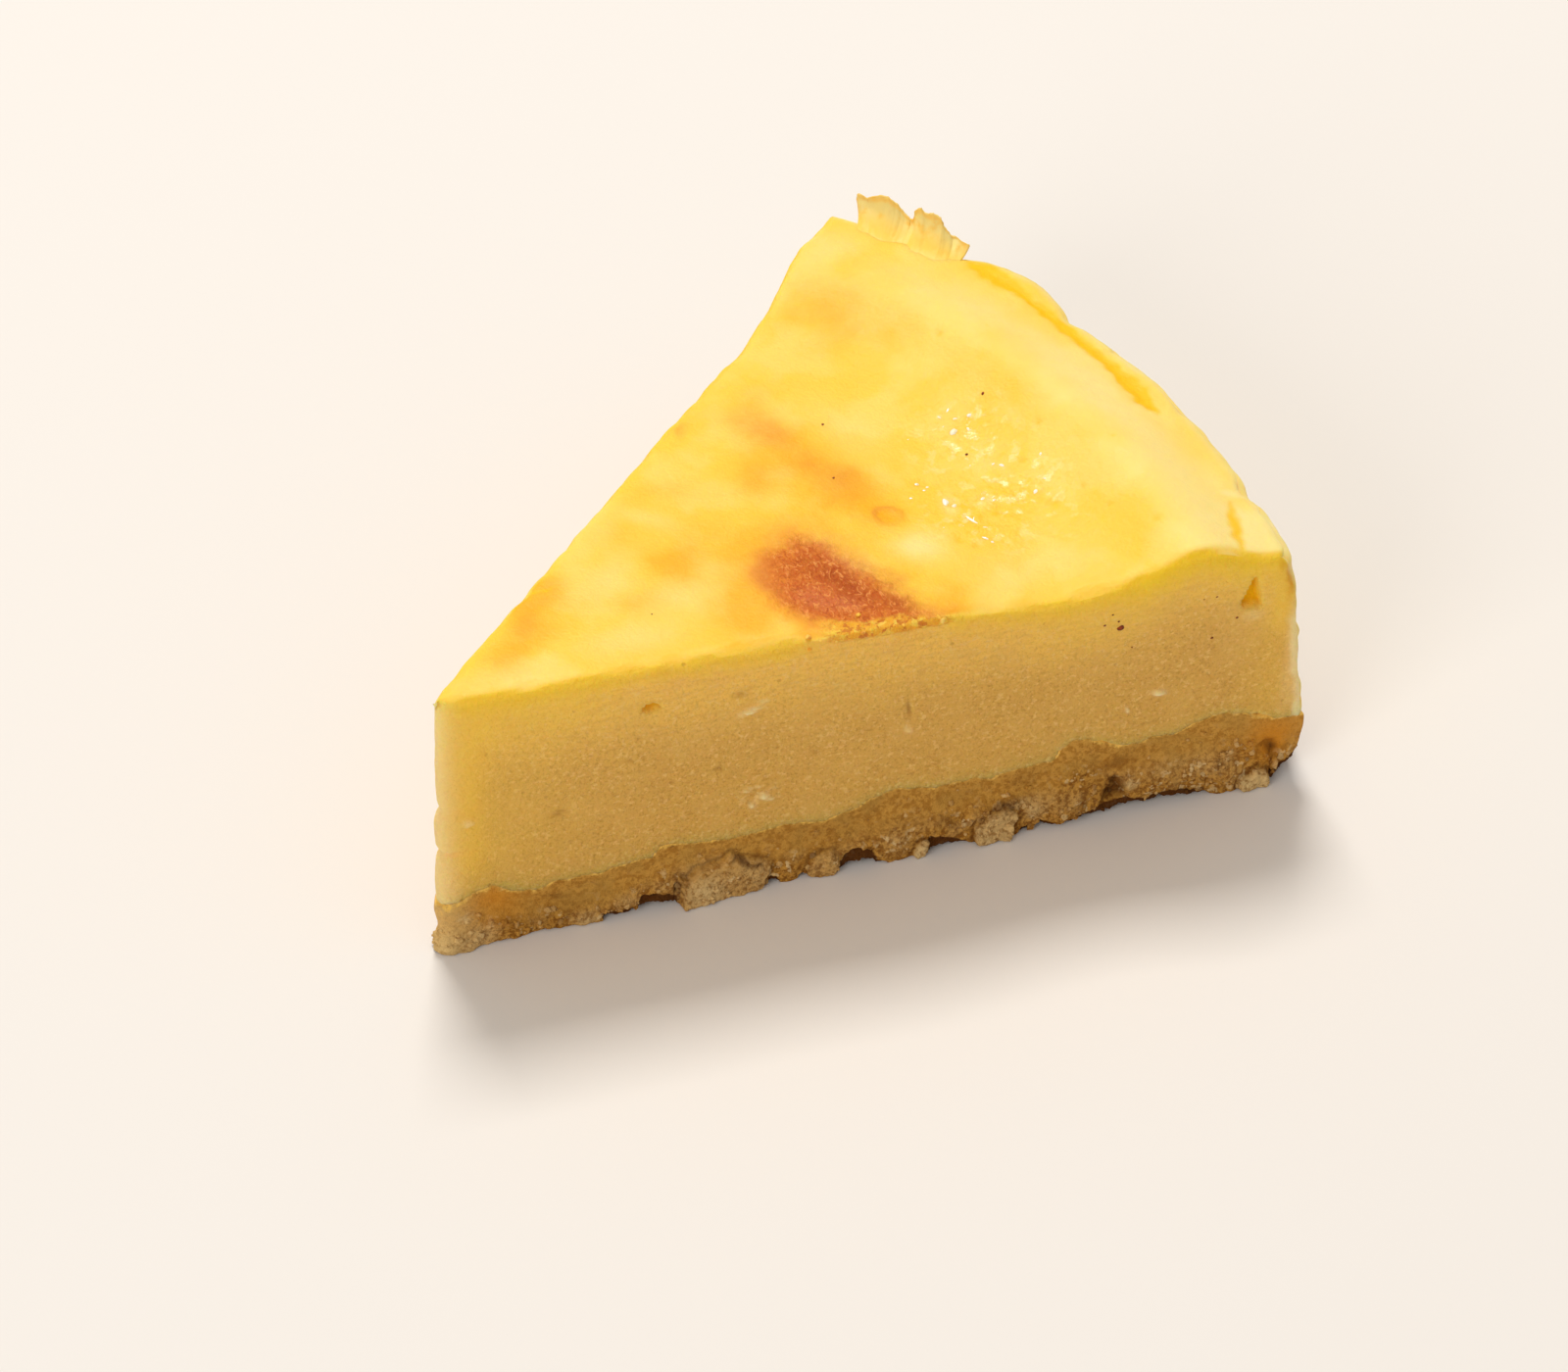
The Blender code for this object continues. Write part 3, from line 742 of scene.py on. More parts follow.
def top_marks(points):
    """How strongly each kind of stain and mark shows at each point, if it were on the top."""
    x, y = points[:, 0], points[:, 1]
    slow, fine, cloud = wandering(points)
    amber, orange = stain_marks(x, y, slow, fine, cloud)
    frayed = (x + fine[0], y + fine[1])
    soft_seam = [(a, b, 1.8 * width, 0.4 * strength) for a, b, width, strength in SEAM]
    seam, crease, small_crease = [stroke(*frayed, line) for line in (SEAM, NEAR_CREASE, FAR_CREASE)]
    in_brown = depth_inside(x + slow[0] / 5 + fine[0], y + slow[1] / 5 + fine[1], BROWN_OUTLINE)
    s = points @ NEAR_ALONG
    in_strip = np.interp(s, *CRUMBLED_STRIP) + points @ NEAR_OUT + 1.8 * fine[0] + 1.2 * fine[1]
    return {
        "amber": amber,
        "orange": orange,
        "pale": pale_marks(x, y, slow, cloud, crease),
        "brown": shelf(in_brown, -3.4, 2.6) * (1.0 - 0.75 * shelf(in_strip, -0.6, 1.4)),
        "crumbled": shelf(in_strip, -0.9, 1.3) * crumbled_stretch(s),
        "pink": np.clip(stains(*frayed, PINK_SPOTS), 0.0, 1.0),
        "dark": np.clip(stains(*frayed, DARK_SPOTS), 0.0, 1.0),
        "seam": np.maximum.reduce([seam, stroke(*frayed, soft_seam), crease, small_crease]),
        "creases": SEAM_DEPTH * seam + CREASE_DEPTH * np.maximum(crease, small_crease),
        "wet": np.clip(stains(x + slow[0], y + slow[1], WET_ZONE), 0.0, 1.0),
    }


def pit_relief(x, y):
    """Depth and strength of the small pits in the top."""
    depth, strength = np.zeros(len(x)), np.zeros(len(x))
    for at_x, at_y, radius, deep in PITS:
        near = bell(np.hypot(x - at_x, y - at_y), radius)
        depth += deep * near
        strength = np.maximum(strength, near)
    return depth, strength


def top_relief(at, marks, pits):
    """Fine relief of the baked top: soft swells, seam, pits, the wrinkled brown patch and wet flecks."""
    points = at.points
    relief = 0.26 * grain(points, 15.0) + 0.09 * grain(points, 4.5, 1) + 0.03 * grain(points, 1.3, 2)
    relief -= marks["creases"] + pits
    wrinkled = grain(points * (1.0, 0.6, 1.0), 1.1, 3) + 0.7 * grain(points, 0.6, 4)
    relief += marks["brown"] * (0.12 * wrinkled - 0.12) + marks["crumbled"] * 0.34 * grain(points, 0.9, 6)
    mark_x, mark_y, mark_radius, mark_width = RING_MARK
    from_mark = np.hypot(at.x - mark_x, at.y - mark_y)
    relief += 0.12 * bell(from_mark - mark_radius, mark_width) - 0.08 * bell(from_mark, mark_radius)
    return relief + marks["wet"] * 0.10 * grain(points, 1.0, 5)


def cut_relief(at):
    """Fine relief of the cuts: the knife's streaks, curd lumps and pits, and the strength of the holes."""
    s, z = at.along, at.z
    streaks = grain(np.stack([s / 5.0, s * 0.0, z - 0.12 * s], axis=1), 0.9, 6)
    relief = cut_waves(at.points) + 0.06 * streaks + 0.04 * grain(at.points, 0.9, 8)
    relief += at.near * (CURD_RISE * stains(s, z, CURD_LUMPS) - PIT_SINK * stains(s, z, CUT_PITS))
    s0, z0, half_long, half_tall = ROUND_HOLE
    round_hole = 1.0 - shelf(np.hypot((s - s0) / half_long, (z - z0) / half_tall), 0.75, 1.1)
    tall_hole = shelf(depth_inside(s, z, TALL_HOLE), -0.15, 0.3)
    hole = at.near * np.maximum(round_hole, tall_hole)
    return relief - HOLE_DEPTH * hole, hole


def rim_relief(points):
    """Fine relief of the baked outside: puckered skin above, and scalloped crumbs of curd low down."""
    x, y, z = points.T
    baked = 0.22 * grain(points, 5.0, 9) + 0.10 * grain(points, 1.8, 10)
    ledges = grain(np.stack([np.arctan2(y, x) * 12.0, z / 2.2, z * 0.0], axis=1), 1.0, 11)
    beads, _ = grit(points, 2.6, 12)
    return baked + 0.18 * ledges + 0.45 * shelf(26.0 - z, 0.0, 4.0) * (0.5 - beads)


def filling_relief(at, marks, pits):
    """How far the filling's fine relief stands out, and the strength of its holes."""
    on_cut, hole = cut_relief(at)
    relief = at.on_top * top_relief(at, marks, pits) + at.cut * on_cut + at.rim * rim_relief(at.points)
    bites = sum(out_by * bell(at.z - height, half) for height, half, out_by in POINT_MARKS)
    relief += at.tip * (POINT_LEAN * shelf(LEAN_HEIGHT - at.z, 0.0, 28.0) + bites)
    dipped = (1.0 - at.on_top) * (1.0 - shelf(at.z - at.joint, -JOINT_OVERLAP, 0.05))
    return relief - JOINT_DIP * dipped, hole


def baked_values(at, marks, pit_strength):
    """What the material reads of the baked top: its stains, its seam, and where it crumbled or is loose."""
    values = {key: marks[key] * at.on_top for key in ("amber", "orange", "pale", "wet")}
    for key in ("brown", "pink", "dark"):
        values[key] = marks[key] * shelf(at.on_top, 0.0, 0.4)
    seam = shelf(at.on_top, 0.1, 0.5) * np.maximum(marks["seam"], 0.42 * pit_strength)
    values["seam"] = np.clip(seam, 0.0, 1.0)
    under_edge = 1.0 - shelf(at.depth, 0.5, 1.6 + 0.6 * grain(at.points, 1.2, 19))
    crumbled = at.on_top * marks["crumbled"] + at.near * under_edge * crumbled_stretch(at.s)
    values["crumbled"] = np.clip(crumbled, 0.0, 1.0)
    loose = values["crumbled"] * np.clip(0.25 + 0.9 * grain(at.points, 1.6, 22), 0.0, 1.0)
    from_far_cut = at.r * np.sin(FAR_CUT - at.angle)
    far_crumbs = 0.3 * bell(from_far_cut - 0.4, 0.6) * bell(at.r - FAR_CRUMBS_AT, 1.8)
    values["loose"] = loose * (1.0 - 0.4 * at.on_top) + at.on_top * far_crumbs
    return values


def skin_and_glow_value(at):
    """The yellow band along the top's edges: the skin's own yellow and painted glow, thicker near the rim,
    gone where crumbled.
    """
    strong = at.near * stretch(at.s, 76.0, 6.0, 99.0, 8.0)
    thick = 1.7 + 0.6 * grain(at.points, 3.0, 14) + 0.3 * grain(at.points, 1.0, 15) + 0.9 * strong
    gap = 1.0 - 0.85 * at.near * stretch(at.s, 41.0, 4.0, 60.0, 3.0)
    skin_and_glow_band = gap * (1.0 - shelf(np.clip(at.depth, 0.0, None), -0.2 * thick, 2.1 * thick))
    edge = bell(at.r * np.sin(at.angle - NEAR_CUT), 1.3) + bell(at.r * np.sin(FAR_CUT - at.angle), 0.9)
    return np.clip((0.74 + 0.26 * strong) * (at.cut * skin_and_glow_band + 0.6 * at.on_top * edge * gap), 0.0, 1.0)


def cream_and_lit_edge_value(at):
    """Strength of pale cream, mostly painted light: on the point, on the cuts' ends at the rim, and in marks
    of the near cut.
    """
    end = shelf(rim_radius(at.angle, at.z) - at.r, 0.0, 3.4) + 0.25 * grain(at.points, 1.6, 18)
    # Painted light on the cuts' ends by the rim, where the round edge catches the light
    frayed = at.cut * (1.0 - shelf(end, 0.05, 0.5)) * shelf(27.0 - at.z, -1.0, 5.0)
    cream_and_lit_edges = 1.2 * bell(at.r, 2.7) + frayed + at.near * stains(at.s, at.z, CREAM_AND_LIT_MARKS)
    return np.clip((1.0 - at.on_top) * cream_and_lit_edges, 0.0, 1.0)


def painted_light_value(at):
    """Strength of painted light on the cuts, in warm yellow: by the point, by the rim and high at both ends.
    """
    painted_light = 0.8 * bell(at.r - 4.2, 2.6) + 0.3 * bell(at.r - 8.0, 8.0)
    painted_light += 0.8 * bell(at.r - 97.4, 1.4) * shelf(at.z, 20.0, 27.0) + 0.35 * bell(at.r - 97.0, 3.5)
    both_ends = shelf(26.0 - at.s, 0.0, 10.0) + stretch(at.s, 66.0, 8.0, 95.0, 4.0)
    painted_light += 0.5 * at.near * (1.0 - shelf(at.depth, 3.0, 9.0)) * both_ends
    return np.clip(at.cut * painted_light * shelf(at.z, 5.0, 14.0), 0.0, 1.0)


def cut_values(at, hole):
    """What the material reads of the cuts, the rim and the joint with the base."""
    burnt = stains(at.s + 0.4 * grain(at.points, 1.0, 20), at.z, AMBER_MARKS)
    return {
        "skin_and_glow_band": skin_and_glow_value(at),
        # Painted light: how far down the cut each place is, for a tan that is lighter near the top
        "deep": shelf(at.depth, 2.0, 15.0 + 2.0 * grain(at.points, 6.0, 16)),
        "soaked": (1.0 - at.on_top) * soaked(at.points, at.joint),
        "cut": np.clip(at.cut + at.tip, 0.0, 1.0),
        "hole": hole,
        "curd": at.near * np.clip(3.2 * stains(at.s, at.z, CURD_LUMPS), 0.0, 1.0),
        # Painted shade in the pits of the near cut
        "pit_shade": at.near * np.clip(2.6 * stains(at.s, at.z, CUT_PITS), 0.0, 1.0),
        "cream_and_lit_edges": cream_and_lit_edge_value(at),
        "burnt": np.clip(at.near * burnt, 0.0, 1.0),
        "painted_light": painted_light_value(at),
        "rim": at.rim,
        "along": at.along,
    }


def make_filling(finish):
    """The set filling with its baked top, its two cuts and its risen rim."""
    out, across, up, faces = slice_lattice(FILLING_ROWS, FILLING_LEVELS)
    points, top = filling_form(out, across, up)
    normals = point_normals(points, faces)
    at = Places(points, normals, top)
    marks = top_marks(points)
    pits, pit_strength = pit_relief(at.x, at.y)
    relief, hole = filling_relief(at, marks, pits)
    values = {**baked_values(at, marks, pit_strength), **cut_values(at, hole)}
    return make_piece("filling_body", points + normals * relief[:, None], faces, finish, values)


# Colours of the baked top, with painted sheen and shade at its wet flecks and wrinkles
LEMON, LIGHT_LEMON, DEEP_LEMON = colour(253, 205, 66), colour(254, 213, 98), colour(250, 194, 44)
PALE_TOP, WET_SHEEN, WET_FLECK_SHADE = colour(253, 228, 150), colour(255, 236, 168), colour(246, 196, 34)
AMBER, ORANGE, SEAM_YELLOW = colour(250, 176, 12), colour(218, 128, 38), colour(253, 196, 0)
PATCH_BROWN, PATCH_LIGHT = colour(210, 104, 30), colour(226, 128, 42)
PATCH_PINK, PATCH_DARK = colour(214, 114, 70), colour(176, 68, 14)
WRINKLE_SHADE, WRINKLE_HIGHLIGHT = colour(172, 66, 14), colour(244, 160, 84)
CRUMBLED_AMBER, CRUMBLED_BROWN = colour(242, 172, 40), colour(204, 108, 18)
CRUMBLED_YELLOW = colour(253, 210, 84)

# Colours of the cuts, the holes, the rim and the biscuit that the filling soaked, with painted light and
# shade among them
TAN_LIT_TOP, TAN_SHADED_LOW = colour(252, 202, 95), colour(225, 175, 86)
TAN_GRAIN_DARK, TAN_GRAIN_LIGHT = colour(186, 134, 54), colour(250, 210, 128)
TAN_STREAK, TAN_CLOUD, TAN_PIT_SHADE = colour(212, 160, 76), colour(232, 184, 96), colour(176, 124, 50)
PAINTED_LIGHT_YELLOW, SKIN_AND_GLOW_YELLOW, HOLE_GLOW_YELLOW = colour(250, 206, 74), colour(255, 210, 42), colour(255, 198, 4)
CREAM_AND_LIT_EDGE, CURD_CREAM, BURNT_AMBER = colour(252, 226, 164), colour(255, 230, 172), colour(224, 156, 30)
RIM_CREAM, RIM_AMBER = colour(248, 220, 140), colour(240, 186, 84)
SOAKED_LIGHT, SOAKED_DARK, SOAKED_CLOUD = colour(214, 158, 68), colour(182, 125, 42), colour(194, 148, 66)


def top_colour(start):
    """Colours of the baked top: lemon yellow, with amber and orange stains round a brown patch."""
    wet = measured(start, "wet")
    mottle = 0.75 + 0.5 * speckle(start, 1.8, detail=4.0, roughness=0.6)
    brown = sharpened(measured(start, "brown") + roughened(start, 1.2, 4.0, 0.65, 0.5), 0.0, 1.0)
    return layered(
        LEMON,
        (LIGHT_LEMON, sharpened(speckle(start, 9.0, 3.0), 0.42, 0.62)),
        (DEEP_LEMON, sharpened(speckle(start, 14.0), 0.52, 0.72) * 0.25),
        (PALE_TOP, measured(start, "pale") * 0.85),
        # Painted sheen on the wet flecks, and painted shade beside them
        (WET_SHEEN, wet * sharpened(speckle(start, 1.6, 3.0), 0.54, 0.64) * 0.5),
        (WET_FLECK_SHADE, wet * sharpened(speckle(start, 1.0, 3.0), 0.45, 0.35) * 0.5),
        (AMBER, sharpened(measured(start, "amber") * mottle, 0.05, 1.1) * 0.85),
        (ORANGE, sharpened(measured(start, "orange") * mottle, 0.0, 0.85) * 0.9),
        (brown_patch(start), brown * 0.97),
        (SEAM_YELLOW, sharpened(measured(start, "seam"), 0.05, 0.75) * 0.97),
    )


def wrinkles(start):
    """The fine wrinkles of the brown patch, drawn out over the top."""
    return speckle(start, 0.55, detail=4.0, roughness=0.62, warp=1.2, where=drawn_out(start, 68.0, 0.6))


def brown_patch(start):
    """Colours of the brown patch: orange brown, pink and dark in places, with painted shade and highlights
    on its wrinkles.
    """
    return layered(
        PATCH_BROWN,
        (PATCH_LIGHT, sharpened(speckle(start, 0.7, 3.0), 0.45, 0.65)),
        (PATCH_PINK, measured(start, "pink") * 0.9),
        (PATCH_DARK, measured(start, "dark") * 0.75),
        # Painted shade in the wrinkles' hollows and painted highlights on their crests
        (WRINKLE_SHADE, sharpened(wrinkles(start), 0.47, 0.35) * 0.6),
        (WRINKLE_HIGHLIGHT, sharpened(wrinkles(start), 0.52, 0.66) * 0.75),
    )


def crumbled_top(start):
    """Colours of the crumbled strip of the top: amber, with orange-brown and yellow crumbs."""
    return layered(
        CRUMBLED_AMBER,
        (CRUMBLED_BROWN, sharpened(speckle(start, 1.1, 3.0, 0.6), 0.50, 0.60)),
        (CRUMBLED_YELLOW, sharpened(speckle(start, 0.8, 4.0), 0.52, 0.62) * 0.85),
    )


def soak_share(start):
    """Share of soaked biscuit in the colour, with a ragged, slightly blurred line at the joint."""
    ragged = roughened(start, 1.1, 3.0, 0.65, 0.5) + roughened(start, 0.4, 2.0, 0.5, 0.25)
    return sharpened(measured(start, "soaked") + ragged, 0.41, 0.59)


def tan_filling(start):
    """Colour of the cut filling: tan, with painted light making it lighter near the top and darker lower
    down.
    """
    deep = measured(start, "deep")
    dark_grain = sharpened(speckle(start, 0.4, 3.0, 0.6), 0.50, 0.66)
    return layered(
        TAN_LIT_TOP,
        (TAN_SHADED_LOW, deep),
        (TAN_GRAIN_DARK, dark_grain * (0.22 + 0.3 * deep)),
        (TAN_GRAIN_LIGHT, sharpened(speckle(start, 0.6, 3.0, 0.6), 0.53, 0.66) * 0.55),
    )


def soaked_biscuit(start):
    """Colour of the biscuit that the filling has soaked: olive brown and mottled."""
    return layered(
        SOAKED_LIGHT,
        (SOAKED_DARK, sharpened(speckle(start, 0.7, detail=4.0, roughness=0.65), 0.42, 0.60)),
        (SOAKED_CLOUD, sharpened(speckle(start, 4.0), 0.45, 0.65) * 0.5),
    )


def knife_streaks(start):
    """Fine streaks that run along the cuts."""
    place = start.node("ShaderNodeTexCoord", output="Object")
    height = start.node("ShaderNodeSeparateXYZ", {}, {0: place}, output="Z")
    level = start.node("ShaderNodeCombineXYZ", {}, {0: measured(start, "along") * (0.22 * MM), 2: height})
    return speckle(start, 0.55, detail=3.0, roughness=0.6, where=level)


def cut_pores(start):
    """Tiny round pores in the cuts, gathered in places."""
    return sharpened(cells(start, 2.9), 0.10, 0.04) * sharpened(speckle(start, 6.0), 0.48, 0.62)


def cut_colour(start, streaks, pores):
    """Colours of the cut filling: tan, with yellow and painted glow under the top, painted light at its ends
    and painted shade in its pits.
    """
    broken = 0.75 + 0.5 * speckle(start, 0.8, 3.0, 0.6)
    return layered(
        tan_filling(start),
        (TAN_STREAK, sharpened(streaks, 0.42, 0.66) * 0.3),
        (TAN_CLOUD, sharpened(speckle(start, 5.0), 0.45, 0.7) * 0.35),
        # Painted light: warm yellow where light catches the point and the rim end, and high up at both ends
        (PAINTED_LIGHT_YELLOW, measured(start, "painted_light") * 0.7),
        # The skin's own yellow under the top, brightened as painted glow of light shining through the edge
        (SKIN_AND_GLOW_YELLOW, measured(start, "skin_and_glow_band") * broken),
        # Pale cream, mostly painted light on the rounded point and the rim end
        (CREAM_AND_LIT_EDGE, measured(start, "cream_and_lit_edges") * 0.85),
        (CURD_CREAM, measured(start, "curd") * 0.9),
        (BURNT_AMBER, measured(start, "burnt") * 0.9),
        # Painted shade in the pits and pores
        (TAN_PIT_SHADE, measured(start, "pit_shade") * 0.7 + pores * 0.35),
    )


def cheese_colour(start, streaks, pores, crumbled):
    """Colours of the whole filling: top, cuts, rim, holes, crumbled strip and soaked biscuit."""
    blotched = sharpened(speckle(start, 4.0, detail=4.0), 0.5, 0.75)
    return layered(
        top_colour(start),
        (cut_colour(start, streaks, pores), measured(start, "cut")),
        (laid_over(RIM_CREAM, RIM_AMBER, blotched), measured(start, "rim") * 0.8),
        # The holes' own deeper yellow, brightened as painted glow of light through the cheese
        (HOLE_GLOW_YELLOW, measured(start, "hole")),
        (crumbled_top(start), crumbled * 0.8),
        (soaked_biscuit(start), soak_share(start)),
    )


def cheese_height(start, streaks, pores, crumbled):
    """Height of the filling's finest relief: wrinkles and wet flecks on top, grain and pores in the cuts."""
    wet, cut = measured(start, "wet"), measured(start, "cut")
    on_top = speckle(start, 0.4, detail=3.0) * 0.25 + speckle(start, 1.2) * 0.35
    on_top = on_top + wrinkles(start) * measured(start, "brown") * 1.3 + speckle(start, 1.4, 2.0) * wet * 1.3
    on_cut = streaks * 0.3 + speckle(start, 0.45, 3.0, 0.65) * 1.1 + speckle(start, 1.3) * 0.5 - pores * 0.5
    return on_top * (1.0 - cut) + on_cut * cut + speckle(start, 0.7, 3.0, 0.65) * crumbled * 1.8


def cheese_material():
    """The filling: lemon yellow and stained where it baked, tan where it was cut, slightly translucent."""
    made, start = new_material("baked_cheese")
    streaks, pores = knife_streaks(start), cut_pores(start)
    crumbled = sharpened(measured(start, "crumbled") + roughened(start, 0.8, 3.0, 0.65, 0.7), 0.25, 0.75)
    glossy = measured(start, "wet") * sharpened(speckle(start, 1.6, 3.0), 0.52, 0.62)
    dry = 0.40 + 0.14 * speckle(start, 2.0) + 0.16 * measured(start, "cut") + 0.1 * measured(start, "brown")
    inputs = {
        "Base Color": cheese_colour(start, streaks, pores, crumbled),
        "Roughness": dry - 0.36 * glossy,
        "Normal": bumped(cheese_height(start, streaks, pores, crumbled), 0.26),
        "Subsurface Weight": 0.5,
        "Subsurface Radius": (1.0, 0.5, 0.12),
        "Subsurface Scale": 0.004,
        "IOR": 1.4,
        "Specular IOR Level": 0.25,
    }
    finish_material(start, inputs)
    return made


# The torn skin that stands up at the far end of the rim

# Where its foot starts and ends, in degrees round the cake, and its torn edge, in degrees and heights
SKIN_FOOT = (20.0, 12.6)
SKIN_EDGE = (
    (21.3, 35.4),
    (21.2, 36.2),
    (20.6, 35.9),
    (19.8, 36.8),
    (19.0, 37.1),
    (18.4, 36.6),
    (17.9, 35.7),
    (17.4, 35.1),
    (17.1, 35.2),
    (17.0, 36.4),
    (16.6, 37.1),
    (16.2, 36.7),
    (15.7, 37.1),
    (15.1, 36.8),
    (14.8, 36.0),
    (14.3, 34.9),
    (13.0, 34.0),
)
SKIN_COLUMNS, SKIN_LEVELS = 130, 26
SKIN_ROOT_INSET, SKIN_ROOT_DEPTH, SKIN_REACH = 4.6, 0.30, 5.3
SKIN_BEND, SKIN_CURL, SKIN_THICKNESS = 1.6, 0.22, 0.25


def torn_edges():
    """Each place's share along and up the sheet of skin, and the angle and height of its torn edge there."""
    along = np.repeat(np.linspace(0.0, 1.0, SKIN_COLUMNS), SKIN_LEVELS)
    up = np.tile(np.linspace(0.0, 1.0, SKIN_LEVELS), SKIN_COLUMNS)
    torn = np.array(SKIN_EDGE)
    stops = np.linspace(0.0, 1.0, len(torn))
    fray = np.stack([along * 18.0, along * 0.0, along * 0.0], axis=1)
    degrees = np.interp(along, stops, torn[:, 0]) + 0.10 * grain(fray, 0.5, 1)
    height = np.interp(along, stops, torn[:, 1]) + 0.22 * grain(fray, 0.4, 2)
    return along, up, degrees, height


def torn_sheet():
    """The sheet of skin: its points, how near each is to a torn edge, how far up it is, and its faces."""
    along, up, degrees, height = torn_edges()
    foot = SKIN_FOOT[0] + along * (SKIN_FOOT[1] - SKIN_FOOT[0])
    degrees = foot + (degrees - foot) * up
    angle = np.radians(degrees)
    root = rim_radius(angle, LEAN_HEIGHT) - SKIN_ROOT_INSET
    r = root + SKIN_REACH * (1.0 - (1.0 - up) ** SKIN_BEND)
    root_height = top_height(r, angle) - SKIN_ROOT_DEPTH
    z = root_height + (height - root_height) * up**SKIN_BEND
    crease = np.stack([degrees * 1.4, z * 0.5, degrees * 0.0], axis=1)
    r += SKIN_CURL * grain(crease, 1.0, 3) * shelf(up, 0.1, 0.9) + 0.04 * grain(crease, 0.35, 4) * up
    torn_ends = np.maximum(shelf(along, 0.95, 1.0), shelf(1.0 - along, 0.97, 1.0))
    index = np.arange(SKIN_COLUMNS * SKIN_LEVELS).reshape(SKIN_COLUMNS, SKIN_LEVELS)
    corners = [index[:-1, :-1], index[:-1, 1:], index[1:, 1:], index[1:, :-1]]
    faces = np.stack([c.ravel() for c in corners], axis=1)
    return placed(r, angle, z), np.maximum(shelf(up, 0.72, 1.0), torn_ends), up, faces


def make_torn_skin(finish):
    """The baked skin that tore as the slice left its tin, in two ragged tongues."""
    points, torn_edge, up, faces = torn_sheet()
    made = make_piece("torn_skin", points, faces.tolist(), finish, {"torn": torn_edge, "risen": up})
    thick = made.modifiers.new("thickness", "SOLIDIFY")
    thick.thickness, thick.offset = SKIN_THICKNESS * MM, 0.0
    return made


# Colours of the torn skin
SKIN_CREAM, SKIN_BLOTCH = colour(255, 228, 146), colour(255, 200, 78)
SKIN_RAGGED, SKIN_ROOT = colour(255, 198, 82), colour(255, 210, 92)


def skin_material():
    """Thin baked skin: pale cream, with amber where it is torn and thick."""
    made, start = new_material("torn_baked_skin")
    blotches = sharpened(speckle(start, 2.2, detail=4.0, roughness=0.6), 0.48, 0.68)
    ragged = sharpened(measured(start, "torn") * (0.6 + 0.8 * speckle(start, 0.9)), 0.4, 0.9)
    surface = layered(SKIN_CREAM, (SKIN_BLOTCH, blotches * 0.9), (SKIN_RAGGED, ragged * 0.55))
    surface = laid_over(SKIN_ROOT, surface, sharpened(measured(start, "risen"), 0.30, 0.85))
    inputs = {
        "Base Color": surface,
        "Roughness": 0.42 + 0.2 * blotches,
        "Normal": bumped(speckle(start, 0.6, detail=3.0), 0.06),
        "Subsurface Weight": 0.6,
        "Subsurface Radius": (1.0, 1.0, 1.0),
        "Subsurface Scale": 0.00007,
        "Specular IOR Level": 0.25,
    }
    finish_material(start, inputs)
    return made


# The biscuit base

# How finely its sides are cut into faces, and the numbers that mark its three sides
NEAR_STEP, OTHER_STEP, BASE_LEVELS = 0.14, 0.4, 64
NEAR_SIDE, RIM_SIDE, FAR_SIDE = 0, 1, 2

# Its crags, its flare at the foot and the chips in its lower edge
CRAG_SIZE, CRAG_DEPTH, BASE_FLARE = 3.6, 0.8, 0.5
EDGE_LIFT, CHIP_LENGTH, CHIP_HEIGHT = 0.12, 9.0, 2.6
CHIP_PLACES = (27.9, 66.6, 0.0)

# Its corners at the rim draw back towards the foot, from LOW_CORNER's second height down to its first
CORNER_TAPER, CORNER_START, CORNER_ROUND, CORNER_BITE = 1.6, 96.0, 0.25, 2.6
LOW_CORNER = (1.0, 8.0)

# How far in the hollow under its edge ends and its flat underside starts, the middle of its underside and
# its lid, how far under the joint the lid starts, and how high it is in the middle
CAVITY_INSET, UNDERSIDE_INSET = 3.0, 4.6
BASE_MIDDLE = np.array((62.0, -1.5, 0.0))
LID_DEPTH, LID_HEIGHT = 1.2, 7.0

# Pieces that stand out of the near side: outline by distance and height, then mm out at the two ends, edge
# softness and paleness
SLAB = [
    (27.8, -1.0), (28.2, 1.4), (28.6, 2.4), (28.0, 4.0), (29.1, 3.4), (29.8, 4.5), (31.2, 4.7), (32.8, 4.9),
    (34.0, 5.9), (34.9, 5.1), (36.6, 4.4), (38.5, 3.6), (38.3, 2.0), (37.7, 0.6), (37.2, -1.0),
]
PALE_CHUNK = [
    (62.1, -1.0), (62.2, 3.0), (63.0, 3.3), (63.7, 4.0), (65.2, 4.4), (66.7, 3.9), (67.3, 2.9), (66.6, 1.6),
    (66.2, -1.0),
]
PALE_CRUMB = [(54.9, 0.5), (55.2, 1.5), (56.1, 1.9), (56.6, 1.3), (56.2, -1.0), (55.1, -1.0)]
END_CHUNK = [(93.1, 1.9), (93.3, -1.0), (96.6, -1.0), (96.9, 1.3), (96.2, 2.2), (95.2, 2.6), (94.2, 1.8)]
LAST_CHUNK = [(97.5, 2.3), (97.7, 3.0), (98.3, 3.2), (98.7, 2.5), (98.3, 1.6)]
LUMP_CLUSTER = [
    (42.6, 0.6), (43.0, 2.2), (44.2, 3.2), (45.6, 3.0), (46.4, 1.8), (46.3, 0.2), (45.4, -1.0), (43.2, -1.0),
]
NEAR_BLOCKS = (
    (SLAB, 1.4, 0.4, 0.22, 0.36),
    (PALE_CHUNK, 1.0, 0.6, 0.20, 0.75),
    (PALE_CRUMB, 0.7, 0.7, 0.25, 1.0),
    (END_CHUNK, 0.8, 0.9, 0.25, 0.9),
    (LAST_CHUNK, 0.6, 0.6, 0.3, 0.9),
    (LUMP_CLUSTER, 0.6, 0.6, 0.4, 0.30),
)

